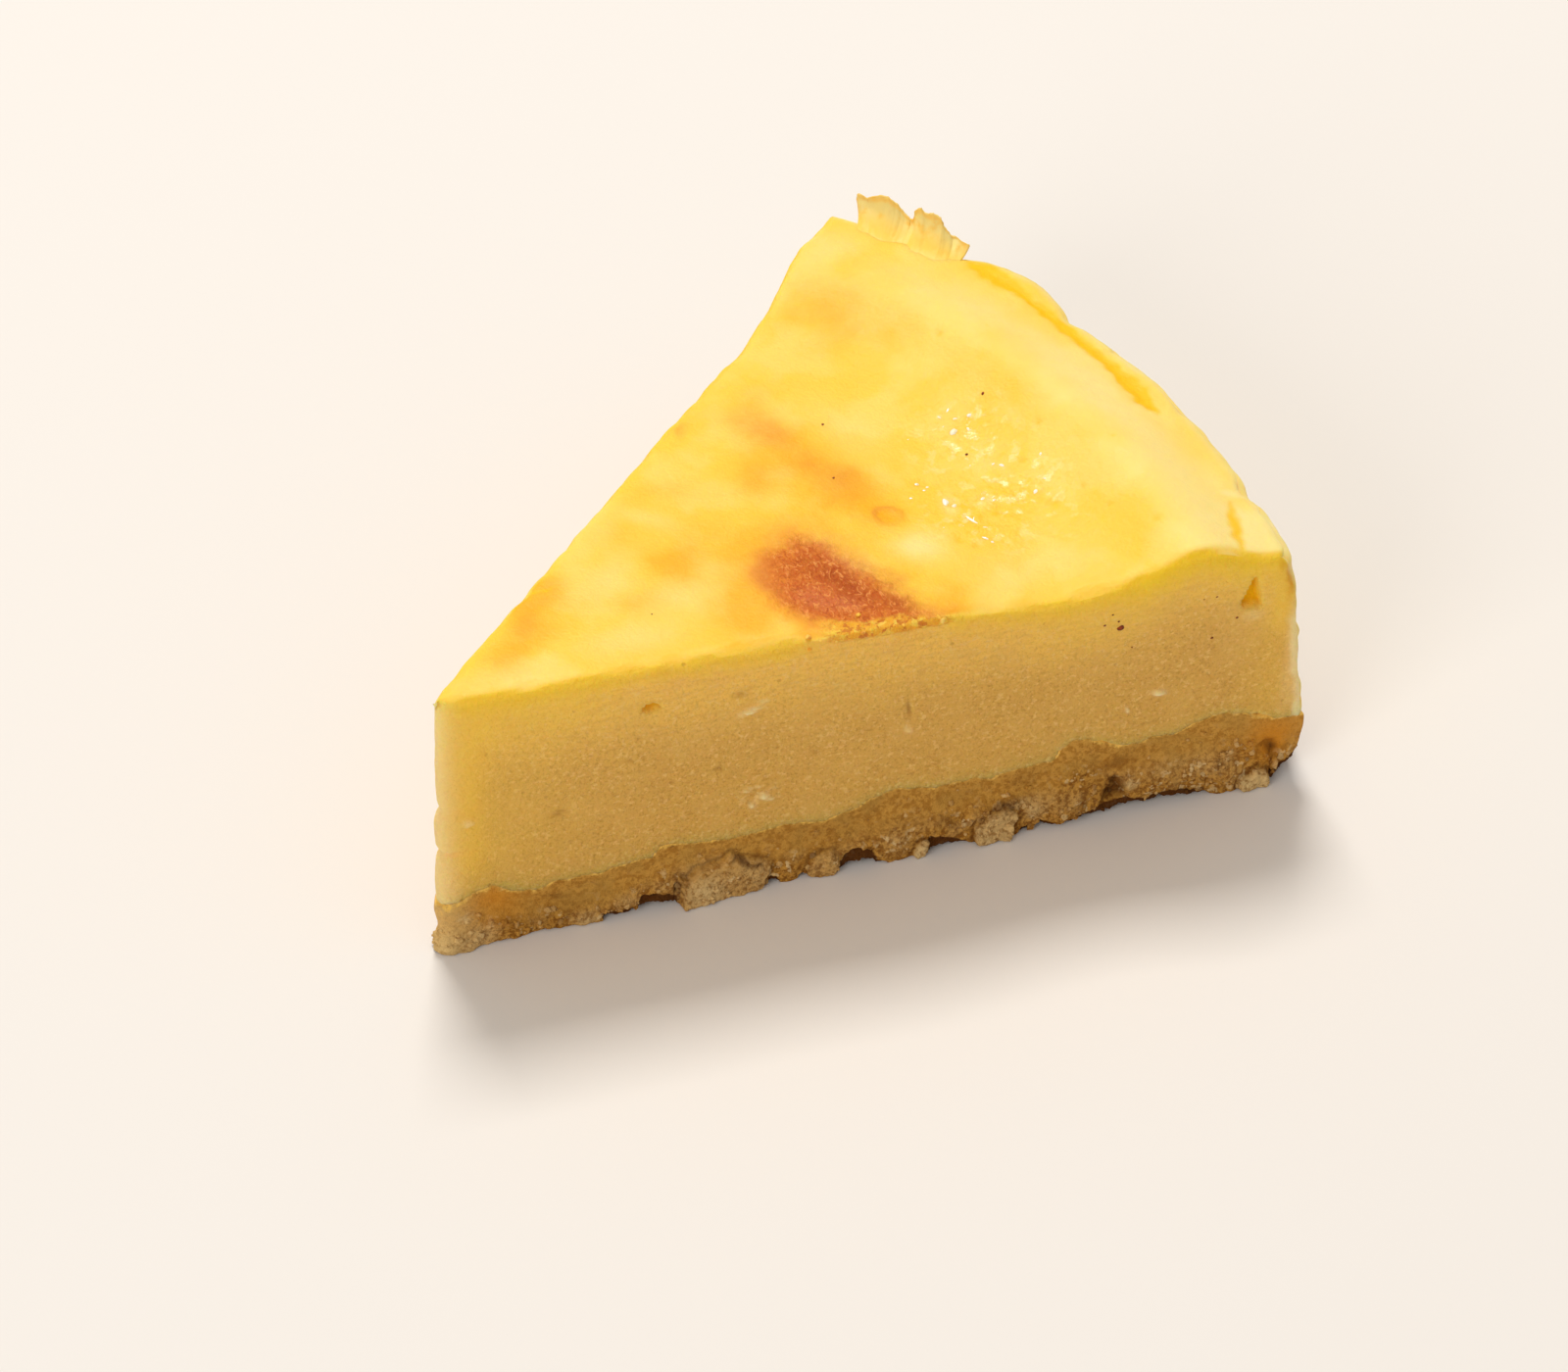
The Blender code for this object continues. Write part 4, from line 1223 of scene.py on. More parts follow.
# Hollows in the near side: outline, mm deep, edge softness, how strongly painted shade darkens them
OVER_SLAB = [
    (33.8, 5.1), (34.4, 5.5), (35.6, 5.0), (36.4, 3.9), (37.6, 3.8), (37.2, 3.4), (35.8, 3.6), (34.8, 4.8),
]
BESIDE_SLAB = [(27.3, 1.8), (27.4, 3.2), (27.8, 3.2), (28.0, 1.6)]
DARK_CLEFT = [(76.9, 1.6), (77.2, 3.4), (77.6, 5.0), (78.6, 5.6), (79.5, 5.0), (79.9, 3.6), (80.2, 1.8)]
TOASTED_HOLLOW = [(95.2, 5.6), (96.4, 6.3), (97.6, 6.0), (98.3, 4.6), (97.6, 3.4), (96.6, 4.2)]
NEAR_HOLLOWS = (
    (OVER_SLAB, 0.5, 0.3, 0.75),
    (BESIDE_SLAB, 0.6, 0.3, 0.8),
    (DARK_CLEFT, 1.0, 0.9, 0.75),
    (TOASTED_HOLLOW, 0.7, 0.9, 0.45),
)

# The near side's lower edge where it broke away over the plane below: distance from the point, height of the
# edge, and how thick a band of painted shade shows under it before it runs back
NEAR_EDGE = (
    (18.9, -0.5, 0.7),
    (19.4, 1.3, 0.7),
    (20.5, 1.0, 0.7),
    (21.6, 0.7, 0.7),
    (23.2, 0.9, 0.8),
    (23.6, 2.2, 1.5),
    (25.0, 2.3, 1.5),
    (26.2, 2.0, 1.4),
    (27.6, 1.7, 1.2),
    (28.0, -0.5, 1.0),
    (38.1, -0.5, 0.8),
    (38.5, 1.3, 0.9),
    (39.2, 1.1, 0.8),
    (39.8, -0.5, 0.7),
    (41.4, -0.5, 0.7),
    (41.9, 0.8, 0.8),
    (42.6, 0.8, 0.8),
    (43.0, -0.5, 0.7),
    (46.2, -0.5, 1.0),
    (46.6, 1.4, 1.4),
    (47.8, 2.7, 1.9),
    (49.2, 3.0, 2.0),
    (50.3, 2.2, 1.6),
    (50.8, 0.8, 0.9),
    (51.6, 0.2, 0.7),
    (53.0, -0.3, 0.7),
    (56.6, -0.5, 0.7),
    (57.0, 2.5, 1.9),
    (58.0, 2.4, 1.7),
    (59.0, 1.8, 1.3),
    (60.0, 1.2, 1.0),
    (61.0, 0.7, 0.8),
    (62.0, -0.3, 0.6),
    (66.9, -0.5, 0.6),
    (67.5, 1.0, 0.8),
    (68.3, 0.9, 0.7),
    (68.6, 0.4, 0.6),
    (69.3, 0.5, 0.6),
    (69.8, 1.6, 0.7),
    (70.5, 1.0, 0.6),
    (71.5, 0.6, 0.6),
    (73.0, 0.5, 0.6),
    (75.0, 1.2, 0.9),
    (76.0, 1.6, 1.1),
    (80.5, 1.9, 1.1),
    (82.0, 1.4, 0.9),
    (83.0, 1.5, 0.9),
    (84.8, 1.9, 1.1),
    (87.0, 1.5, 1.0),
    (88.0, 1.2, 1.0),
    (89.0, 0.8, 0.9),
    (91.0, -0.3, 0.6),
    (96.8, -0.5, 0.8),
    (97.1, 2.2, 1.6),
    (97.7, 1.1, 0.9),
    (98.9, 2.4, 1.4),
    (100.0, 2.8, 1.2),
    (101.5, 4.2, 1.2),
)

# Soft lumps of the near side, then its pale, toasted and darker places, the darker ones partly darker
# biscuit and partly painted shade in gaps and under ledges: distance from the point, height, half length,
# half width, turn in degrees, and mm out or strength
NEAR_LUMPS = (
    (53.4, 3.0, 2.8, 3.4, 0, 0.50),
    (40.6, 1.4, 1.2, 1.6, 0, 0.35),
    (90.6, 6.6, 4.0, 4.0, 0, 0.30),
    (74.0, 10.4, 2.2, 2.0, 0, 0.25),
    (72.6, 2.8, 2.2, 2.4, 0, 0.60),
    (83.4, 4.2, 2.6, 2.2, 0, 0.50),
    (92.0, 2.0, 2.4, 2.4, 0, 0.40),
    (21.8, 2.0, 1.4, 1.2, 0, 0.50),
    (17.4, 1.0, 1.4, 1.0, 0, 0.45),
    (1.0, 1.4, 2.6, 2.4, 0, 0.40),
)
PALE_BISCUIT = (
    (1.0, 1.0, 3.2, 2.6, 0, 0.8),
    (5.2, 1.8, 1.8, 1.4, 0, 0.6),
    (17.4, 0.8, 1.4, 1.0, 0, 0.8),
    (80.4, 3.9, 0.7, 0.6, 0, 0.9),
    (66.6, 4.4, 2.2, 0.6, 10, 0.6),
    (69.0, 3.0, 1.0, 1.2, 0, 0.5),
    (72.6, 3.4, 2.4, 1.6, 0, 0.20),
    (84.0, 5.4, 2.6, 1.4, 0, 0.25),
    (90.0, 4.4, 2.6, 1.4, 0, 0.30),
    (53.0, 3.0, 1.8, 2.0, 0, 0.25),
    (22.0, 2.0, 1.6, 0.8, 0, 0.40),
    (3.8, 4.8, 0.9, 0.9, 0, 0.8),
    (30.8, 1.8, 3.0, 2.8, 0, 1.0),
)
TOASTED_BISCUIT = (
    (97.4, 7.2, 3.6, 2.6, 0, 0.9),
    (97.2, 4.8, 1.4, 1.6, 0, 1.0),
    (7.0, 7.0, 2.6, 1.6, 0, 0.8),
    (8.0, 4.4, 3.4, 2.2, 0, 0.45),
    (78.8, 7.4, 2.0, 1.0, 0, 0.4),
)
DARK_BISCUIT_AND_SHADE = (
    (27.4, 8.7, 0.8, 0.22, -5, 0.5),
    (78.8, 7.3, 1.8, 0.9, 10, 0.4),
    (67.8, 7.8, 2.0, 1.2, 0, 0.25),
    (60.4, 7.4, 1.6, 1.4, 0, 0.15),
    (50.5, 8.6, 1.2, 1.0, 30, 0.15),
    (66.0, 4.8, 2.0, 0.8, 0, 0.35),
    (14.0, 4.8, 1.4, 0.5, -20, 0.3),
    (58.8, 4.0, 1.2, 0.9, 0, 0.3),
    (74.8, 2.6, 0.5, 1.6, 0, 0.4),
    (88.0, 1.2, 4.0, 0.6, -10, 0.25),
    (45.0, 6.4, 5.0, 1.8, 0, 0.14),
    (79.0, 7.4, 4.0, 1.6, 0, 0.14),
    (14.0, 2.4, 4.0, 2.2, 0, 0.16),
    (97.4, 4.4, 0.9, 0.8, 0, 0.35),
)


def base_ring():
    """Plan of the base's edge, anticlockwise from the point: places, distances, angles and sides."""
    near = np.arange(0.0, TIN_RADIUS, NEAR_STEP)
    sweep = np.arange(NEAR_CUT, FAR_CUT + FAR_FLARE, OTHER_STEP / TIN_RADIUS)
    far = np.arange(OTHER_STEP, TIN_RADIUS, OTHER_STEP)[::-1]
    r = np.concatenate([near, np.full(len(sweep), TIN_RADIUS), far])
    angle = np.concatenate([np.full(len(near), NEAR_CUT), sweep, cut_angle(1.0, far)])
    side = np.repeat((NEAR_SIDE, RIM_SIDE, FAR_SIDE), (len(near), len(sweep), len(far)))
    return blunted(placed(r, angle, np.zeros(len(r)))), r, angle, side


def ring_directions(plan):
    """Directions out of a closed outline, turning softly at its corners."""
    along = np.roll(plan, -1, axis=0) - np.roll(plan, 1, axis=0)
    out = np.stack([along[:, 1], -along[:, 0], np.zeros(len(plan))], axis=1)
    out /= np.linalg.norm(out, axis=1)[:, None]
    for _ in range(8):
        out = out + np.roll(out, 1, axis=0) + np.roll(out, -1, axis=0)
        out /= np.linalg.norm(out, axis=1)[:, None]
    return out


def lower_edge(plan, side):
    """Height of the base's lower edge: nearly down, with chips broken out of it away from the near cut."""
    chips = CHIP_HEIGHT * np.clip(grain(plan + CHIP_PLACES, CHIP_LENGTH), 0.0, None)
    ragged = EDGE_LIFT * (1.0 + 1.6 * grain(plan, 1.3, 3)) + 0.3 * np.clip(grain(plan, 2.0, 4), 0.0, None)
    return np.clip(ragged, 0.0, None) + np.where(side == NEAR_SIDE, 0.0, chips)


def near_blocks(s, z, pale):
    """The blocks that stand out of the near side: how far out, how much painted shade darkens their edges,
    and how pale.
    """
    out, sunk = np.zeros(len(s)), np.zeros(len(s))
    for outline, first, last, soft, paleness in NEAR_BLOCKS:
        reach = [place[0] for place in outline]
        height = np.interp(s, (min(reach), max(reach)), (first, last))
        depth = depth_inside(s, z, outline)
        out += height * shelf(depth, -soft / 2, soft)
        # A thin ring of painted shade round each block
        sunk = np.maximum(sunk, 0.5 * bell(depth + 0.35, 0.25))
        inside = shelf(depth, -0.15, 0.2)
        on_block = np.maximum(0.3 * pale + 0.7 * pale * inside, paleness * inside)
        pale = np.where(inside > 0.0, on_block, pale)
    return out, sunk, pale


def near_side_forms(s, z):
    """Broken pieces and hollows of the near side: how far out each place stands, how much painted shade, how
    pale.
    """
    out, sunk, pale = near_blocks(s, z, stains(s, z, PALE_BISCUIT))
    out += stains(s, z, NEAR_LUMPS)
    for outline, deep, soft, dark in NEAR_HOLLOWS:
        inside = shelf(depth_inside(s, z, outline), -soft / 2, soft)
        out -= deep * inside
        # Painted shade in the hollows
        sunk = np.maximum(sunk, dark * inside)
    places, edge, thick = np.array(NEAR_EDGE).T
    under, thick = np.interp(s, places, edge) - z, np.interp(s, places, thick)
    out -= 0.35 * shelf(under, 0.0, 0.25) + 1.9 * shelf(under, thick, thick + 0.3)
    # Painted shade over all the side under the lifted edge
    return out, np.maximum(sunk, shelf(under, -0.05, 0.2)), pale


def biscuit_gravel(points):
    """Relief of small crumbs in broken biscuit, and the distance from the gaps between the larger ones."""
    bits, bit_gap = grit(points, 1.3, 6)
    small, small_gap = grit(points, 0.55, 7)
    relief = 0.14 * (0.45 - bits) + 0.12 * (0.45 - small)
    relief += 0.18 * grain(points, 1.9, 16) + 0.12 * grain(points, 0.9, 17)
    relief -= 0.05 * (1.0 - shelf(bit_gap, 0.0, 0.2)) + 0.03 * (1.0 - shelf(small_gap, 0.0, 0.2))
    return relief, bit_gap


class BiscuitWall:
    """Where the base's points are on its sides, and how each place is broken, pale, dry and crumbly."""

    def __init__(self, points, side, room):
        self.points, self.room = points, room
        self.near, self.rim, self.far = side == NEAR_SIDE, side == RIM_SIDE, side == FAR_SIDE
        self.s = points @ NEAR_ALONG + 0.25 * grain(points, 0.7, 9)
        self.z = points[:, 2] + 0.25 * grain(points, 0.7, 10)
        self.forms, self.sunk, pale = near_side_forms(self.s, self.z)
        self.pale = np.where(self.near, pale, 0.0)
        self.dry = shelf(room, 3.0, 6.4 + 2.0 * grain(points, 4.0, 5))
        self.crumbly = np.clip(0.08 + 0.92 * np.maximum(self.dry, self.pale), 0.0, 1.0)
        self.gravel, self.bit_gap = biscuit_gravel(points)


def base_relief(wall):
    """How far each place on the base's side stands out of its plan."""
    points, room = wall.points, wall.room
    crags, _ = grit(points, CRAG_SIZE)
    flat_face = 1.0 - 0.3 * np.where(wall.near, shelf(depth_inside(wall.s, wall.z, SLAB), -0.2, 0.6), 0.0)
    crag = (0.12 + 0.5 * wall.crumbly) * CRAG_DEPTH * (1.0 - 2.2 * crags) * np.where(wall.near, 0.6, 1.0)
    out = shelf(room, 0.6, 2.6) * (BASE_FLARE * wall.dry + flat_face * crag)
    out += shelf(room, 0.4, 1.4) * wall.crumbly * flat_face * wall.gravel
    out += np.where(wall.rim, -0.5 * (1.0 - shelf(room, 0.0, 3.5)), cut_waves(points))
    out += 0.05 * grain(points, 0.8, 8)
    low_corner = bell(points @ NEAR_OUT, 5.0) * (1.0 - shelf(points[:, 2], *LOW_CORNER))
    out -= np.where(wall.rim, CORNER_BITE * low_corner, 0.0)
    out -= JOINT_DIP * (1.0 - shelf(room, 0.0, JOINT_OVERLAP))
    return out + np.where(wall.near, wall.forms, 0.0) * shelf(room, 0.4, 1.4)


def base_values(wall, out):
    """What the material reads of the base's side."""
    points = wall.points
    pale = wall.pale + 0.18 * wall.dry * shelf(grain(points, 3.0, 11), 0.05, 0.4)
    toasted_rim = 0.55 * wall.rim * shelf(grain(points, 6.0, 12), -0.4, 0.4)
    toasted = np.where(wall.near, stains(wall.s, wall.z, TOASTED_BISCUIT), toasted_rim)
    # Painted shade in the gaps between crumbs, and darker patches that are partly darker biscuit, partly
    # painted shade
    shade_and_dark_patches = 0.20 * wall.crumbly * (1.0 - shelf(wall.bit_gap, 0.0, 0.16))
    shade_and_dark_patches += np.where(wall.near, stains(wall.s, wall.z, DARK_BISCUIT_AND_SHADE), 0.0)
    crumbled = wall.crumbly * shelf(wall.room, 0.6, 2.0) * shelf(points[:, 2], 0.2, 0.5)
    clustered = shelf(grain(points, 2.2, 23), -0.1, 0.35) * np.where(wall.near, 1.0 - wall.sunk, 1.0)
    # Painted shade where the rim and far side sink in
    sunk = np.where(wall.near, wall.sunk, 0.6 * shelf(-out, 0.2, 1.4))
    return {
        "crumbly": crumbled,
        "loose": crumbled * (0.12 + 0.88 * clustered),
        "pale": np.clip(pale, 0.0, 1.0),
        "toasted": np.clip(toasted, 0.0, 1.0),
        "moist": 1.0 - wall.dry,
        # Painted light on the rounded point of the base
        "cream_and_lit_edges": bell(np.hypot(points[:, 0], points[:, 1]), 3.6),
        "soaked": soaked(points, points[:, 2] + wall.room - JOINT_OVERLAP),
        "shade_and_dark_biscuit": np.clip(shade_and_dark_patches + sunk, 0.0, 1.0),
    }


def near_corners(points):
    """How near each place is to a corner between the rim and a cut, from 0 to 1."""
    total = np.zeros(len(points))
    for angle in (NEAR_CUT, FAR_CUT + FAR_FLARE):
        corner_x, corner_y = TIN_RADIUS * math.cos(angle), TIN_RADIUS * math.sin(angle)
        total += bell(np.hypot(points[:, 0] - corner_x, points[:, 1] - corner_y), 1.5)
    return total


def drawn_in(wall):
    """How far the base's side draws in at the rim and its corners, and how its two cuts draw back there."""
    points, z = wall.points, wall.points[:, 2]
    lean = RIM_LEAN * z / LEAN_HEIGHT
    inward = np.where(wall.rim, lean, 0.0) + CORNER_ROUND * near_corners(points)
    near_end = shelf(points @ NEAR_ALONG, CORNER_START, TIN_RADIUS)
    near_back = near_end * (0.4 * lean + CORNER_TAPER * (1.0 - shelf(z, *LOW_CORNER)))
    far_back = 0.7 * lean * shelf(points @ FAR_ALONG, CORNER_START, TIN_RADIUS)
    back = np.outer(np.where(wall.near, near_back, 0.0), NEAR_ALONG)
    return inward, back + np.outer(np.where(wall.far, far_back, 0.0), FAR_ALONG)


def closed_base(points, plan, out_of, low, high):
    """The base's wall closed by a shallow hollow under it, a flat underside and a lid: points and faces."""
    count = len(plan)
    wall = np.arange(BASE_LEVELS * count).reshape(BASE_LEVELS, count)
    under = len(points) + np.arange(count)
    cavity, over = under + count, under + 2 * count
    up = np.array((0.0, 0.0, 1.0))
    floor = plan - out_of * UNDERSIDE_INSET
    roof = plan - out_of * CAVITY_INSET + np.outer(0.9 * low, up)
    ceiling = plan - out_of * CAVITY_INSET + np.outer(high - LID_DEPTH, up)
    hubs = np.array([BASE_MIDDLE, BASE_MIDDLE + LID_HEIGHT * up])
    rows = np.vstack([under, cavity, wall, over])
    nexts = np.roll(rows, -1, axis=1)
    quads = np.stack([rows[:-1], nexts[:-1], nexts[1:], rows[1:]], axis=2).reshape(-1, 4)
    hub = over[-1] + 1
    floor_fan = np.stack([np.roll(under, -1), under, np.full(count, hub)], axis=1)
    roof_fan = np.stack([over, np.roll(over, -1), np.full(count, hub + 1)], axis=1)
    faces = quads.tolist() + floor_fan.tolist() + roof_fan.tolist()
    return np.vstack([points, floor, roof, ceiling, hubs]), faces


def make_base(finish):
    """The pressed biscuit base, broken along its sides, with crags, hollows and chips."""
    plan, r, angle, side = base_ring()
    out_of = ring_directions(plan)
    low, high = lower_edge(plan, side), joint_height(r, angle) + JOINT_OVERLAP
    share = np.linspace(0.0, 1.0, BASE_LEVELS)[:, None]
    points = np.tile(plan, (BASE_LEVELS, 1))
    points[:, 2] = (low + share * (high - low)).ravel()
    wall = BiscuitWall(points, np.tile(side, BASE_LEVELS), np.tile(high, BASE_LEVELS) - points[:, 2])
    out = base_relief(wall)
    values = base_values(wall, out)
    tip = bell(np.hypot(points[:, 0], points[:, 1]), TIP_REACH)
    inward, back = drawn_in(wall)
    out = out + tip * (POINT_LEAN * 0.8 + 0.2 + 0.55 * bell(points[:, 2] - 5.4, 1.8)) - inward
    points = points + np.tile(out_of, (BASE_LEVELS, 1)) * out[:, None] - back
    points, faces = closed_base(points, plan, out_of, low, high)
    unseen = np.zeros(3 * len(plan) + 2)
    # The underside and the hollow under the edge get full painted shade
    shaded = unseen.copy()
    shaded[: 2 * len(plan)] = 1.0
    values = {key: np.concatenate([v, shaded if key == "shade_and_dark_biscuit" else unseen]) for key, v in values.items()}
    return make_piece("biscuit_body", points, faces, finish, values)


# Colours of the biscuit, with painted shade in its hollows and under it, and painted light at its point
BISCUIT_GOLD, BISCUIT_BROWN, BISCUIT_TOAST = colour(206, 150, 64), colour(154, 100, 30), colour(220, 142, 32)
BISCUIT_DRY, BISCUIT_FLECK = colour(230, 195, 132), colour(236, 202, 142)
BISCUIT_LIGHT, BISCUIT_PORE = colour(236, 200, 136), colour(104, 60, 18)
BISCUIT_LIT_POINT, BISCUIT_SHADE = colour(238, 200, 128), colour(84, 42, 4)


def biscuit_colour(start):
    """Colours of baked biscuit: grainy golden brown, wetted, pale, toasted and porous, with painted shade in
    hollows.
    """
    grainy = speckle(start, 0.6, detail=4.0, roughness=0.7)
    patchy = 1.0 - 0.65 * sharpened(grainy, 0.50, 0.60)
    crumbly = measured(start, "crumbly")
    flecks = sharpened(speckle(start, 0.9, 2.0), 0.58, 0.63) * sharpened(speckle(start, 3.0), 0.48, 0.58)
    pores = sharpened(speckle(start, 0.35, detail=3.0, roughness=0.7), 0.56, 0.68)
    surface = layered(
        BISCUIT_GOLD,
        (BISCUIT_BROWN, sharpened(grainy, 0.42, 0.58)),
        (soaked_biscuit(start), measured(start, "moist") * 0.9),
        (BISCUIT_DRY, measured(start, "pale") * patchy),
        (BISCUIT_FLECK, flecks * crumbly * 0.8),
        (BISCUIT_TOAST, measured(start, "toasted") * 0.85),
        (BISCUIT_LIGHT, measured(start, "tone") * 0.7),
        (BISCUIT_PORE, pores * (0.12 + 0.25 * crumbly)),
        # Painted light on the base's rounded point
        (BISCUIT_LIT_POINT, measured(start, "cream_and_lit_edges") * 0.7),
        # Painted shade
        (BISCUIT_SHADE, measured(start, "shade_and_dark_biscuit") * 0.95),
    )
    return laid_over(tan_filling(start), surface, soak_share(start))


def biscuit_material(name):
    """Baked biscuit: golden brown and grainy, darker where the filling wetted it, paler where it is dry."""
    made, start = new_material(name)
    fine = speckle(start, 0.35, detail=4.0, roughness=0.7) * 0.7 + speckle(start, 0.9, 3.0, 0.6) * 0.5
    inputs = {
        "Base Color": biscuit_colour(start),
        "Roughness": 0.88 - 0.24 * measured(start, "moist"),
        "Normal": bumped(fine, 0.36),
        "Specular IOR Level": 0.15,
    }
    finish_material(start, inputs)
    return made


# Loose crumbs, specks, and beads that are painted highlights

# The named inputs of the crumbs' node tree
CRUMB_INPUTS = ("Per square metre", "Smallest", "Largest")

# Crumbs per square metre of surface, and their smallest and largest radius in mm
BISCUIT_CRUMBS = (2.8e6, 0.11, 0.50)
TOP_CRUMBS = (3.2e6, 0.14, 0.50)


def crumb_group(name):
    """An empty node tree for crumbs, with its sizes as named inputs."""
    tree = bpy.data.node_groups.new(name, "GeometryNodeTree")
    tree.interface.new_socket("Geometry", in_out="INPUT", socket_type="NodeSocketGeometry")
    for label in CRUMB_INPUTS:
        tree.interface.new_socket(label, in_out="INPUT", socket_type="NodeSocketFloat")
    tree.interface.new_socket("Geometry", in_out="OUTPUT", socket_type="NodeSocketGeometry")
    return tree


def drawn_number(start, seed):
    """A number from 0 to 1, drawn for each crumb."""
    inputs = {2: 0.0, 3: 1.0, "Seed": seed}
    return start.node("FunctionNodeRandomValue", {"data_type": "FLOAT"}, inputs, output=1)


def drawn_vector(start, low, high, seed):
    """Three numbers between two limits, drawn for each crumb."""
    inputs = {0: low, 1: high, "Seed": seed}
    return start.node("FunctionNodeRandomValue", {"data_type": "FLOAT_VECTOR"}, inputs)


def scaled(vector, factor):
    """A vector made longer or shorter by a factor."""
    return vector.node("ShaderNodeVectorMath", {"operation": "SCALE"}, {0: vector, "Scale": factor})


def crumb_tree(name, where, finish):
    """Geometry nodes that stick rough crumbs on a surface, as thickly as the named value there says."""
    tree = crumb_group(name)
    start = Signal(tree)
    source = start.node("NodeGroupInput")
    thickly = start.node("GeometryNodeInputNamedAttribute", {"data_type": "FLOAT"}, {"Name": where})
    inputs = {"Mesh": source, "Density": thickly * source.beside("Per square metre"), "Seed": 4}
    sites = start.node("GeometryNodeDistributePointsOnFaces", {}, inputs)
    shape = start.node("GeometryNodeMeshIcoSphere", {}, {"Radius": 1.0, "Subdivisions": 1})
    turn = drawn_vector(start, (0.0, 0.0, 0.0), (6.28, 6.28, 6.28), 1)
    pick = drawn_number(start, 2)
    reach = source.beside("Largest") - source.beside("Smallest")
    radius = source.beside("Smallest") + reach * pick * pick * pick
    size = scaled(drawn_vector(start, (0.7, 0.7, 0.55), (1.25, 1.25, 1.0), 3), radius)
    inputs = {"Points": sites, "Instance": shape, "Rotation": turn, "Scale": size}
    crumbs = start.node("GeometryNodeInstanceOnPoints", {}, inputs)
    tone = drawn_number(start, 5)
    settings = {"data_type": "FLOAT", "domain": "INSTANCE"}
    inputs = {"Geometry": crumbs, "Name": "tone", "Value": tone * tone}
    crumbs = start.node("GeometryNodeStoreNamedAttribute", settings, inputs)
    solid = start.node("GeometryNodeRealizeInstances", {}, {"Geometry": crumbs})
    rough = start.node("ShaderNodeTexNoise", {}, {"Scale": 2600.0, "Detail": 1.0}, output="Color")
    off = start.node("ShaderNodeVectorMath", {"operation": "SUBTRACT"}, {0: rough, 1: (0.5, 0.5, 0.5)})
    inputs = {"Geometry": solid, "Offset": scaled(off, 0.45 * MM)}
    solid = start.node("GeometryNodeSetPosition", {}, inputs)
    solid = start.node("GeometryNodeSetMaterial", {}, {"Geometry": solid, "Material": finish})
    start.node("NodeGroupOutput", {}, {"Geometry": solid})
    return tree


def scatter_crumbs(name, surface, sizes, finish):
    """Loose crumbs over a finished piece, as a piece of their own."""
    carrier = bpy.data.objects.new(name, surface.data.copy())
    bpy.context.scene.collection.objects.link(carrier)
    carrier.data.materials.clear()
    modifier = carrier.modifiers.new("crumbs", "NODES")
    modifier.node_group = crumb_tree(name, "loose", finish)
    per_square_metre, smallest, largest = sizes
    inputs = dict(zip(CRUMB_INPUTS, (per_square_metre, smallest * MM, largest * MM)))
    for item in modifier.node_group.interface.items_tree:
        if item.name in inputs:
            modifier[item.identifier] = inputs[item.name]
    depsgraph = bpy.context.evaluated_depsgraph_get()
    evaluated = carrier.evaluated_get(depsgraph)
    plain = bpy.data.meshes.new_from_object(evaluated, preserve_all_data_layers=True, depsgraph=depsgraph)
    carrier.modifiers.clear()
    bare = carrier.data
    carrier.data = plain
    bpy.data.meshes.remove(bare)
    plain.name = name
    return carrier


# How a bead is cut into faces and how deep its edge sinks in, how far over the slice and before its near cut
# its place is looked for, and how steep a surface is where beads lie along the cut
BEAD_RINGS, BEAD_SIDES, BEAD_SINK = 4, 12, 0.04
DOWN = (0.0, 0.0, -1.0)
OVERHEAD, BEFORE_CUT, STEEP = 60.0, 20.0, 0.7

# Beads on the top, painted white as the highlights of wet flecks: x, y, half length, half width, turn in
# degrees
GLINT_BEADS = (
    (66.4, -4.2, 0.35, 0.30, 0),
    (66.9, -5.3, 0.30, 0.22, 40),
    (66.2, -5.6, 0.22, 0.20, 0),
    (66.7, -8.6, 0.70, 0.35, 60),
    (67.1, -9.6, 0.45, 0.30, 20),
    (67.0, -12.6, 1.30, 0.26, -82),
    (66.1, -15.9, 0.45, 0.25, -70),
    (66.3, -16.8, 0.25, 0.20, 0),
    (75.3, -0.3, 0.60, 0.45, 20),
    (78.2, 0.4, 0.35, 0.30, 0),
    (76.8, 1.2, 0.30, 0.22, 0),
    (75.5, -8.0, 0.35, 0.22, -60),
    (75.0, -7.2, 0.25, 0.18, 0),
    (75.3, -13.8, 0.40, 0.25, 30),
    (70.4, -10.6, 0.40, 0.22, 20),
    (71.2, -11.6, 0.30, 0.20, 0),
    (64.0, -5.9, 0.25, 0.2, 0),
)
MORE_BEADS, BEAD_SEED = 24, 11
SPECK_HEIGHT = 0.10

# Dark specks of spice: on the top by x and y, and on the near cut by distance and height, with the radius
TOP_SPECKS = (
    (81.2, 1.5, 0.30),
    (73.9, -4.0, 0.26),
    (64.6, 9.7, 0.26),
    (59.2, 1.6, 0.24),
    (28.9, -3.6, 0.15),
)
CUT_SPECKS = (
    (78.5, 27.8, 0.55),
    (78.2, 28.8, 0.20),
    (76.6, 28.6, 0.20),
    (77.5, 29.9, 0.18),
    (79.9, 24.5, 0.16),
    (89.5, 29.5, 0.18),
    (88.0, 29.5, 0.12),
    (92.0, 25.8, 0.19),
    (89.2, 23.5, 0.25),
)


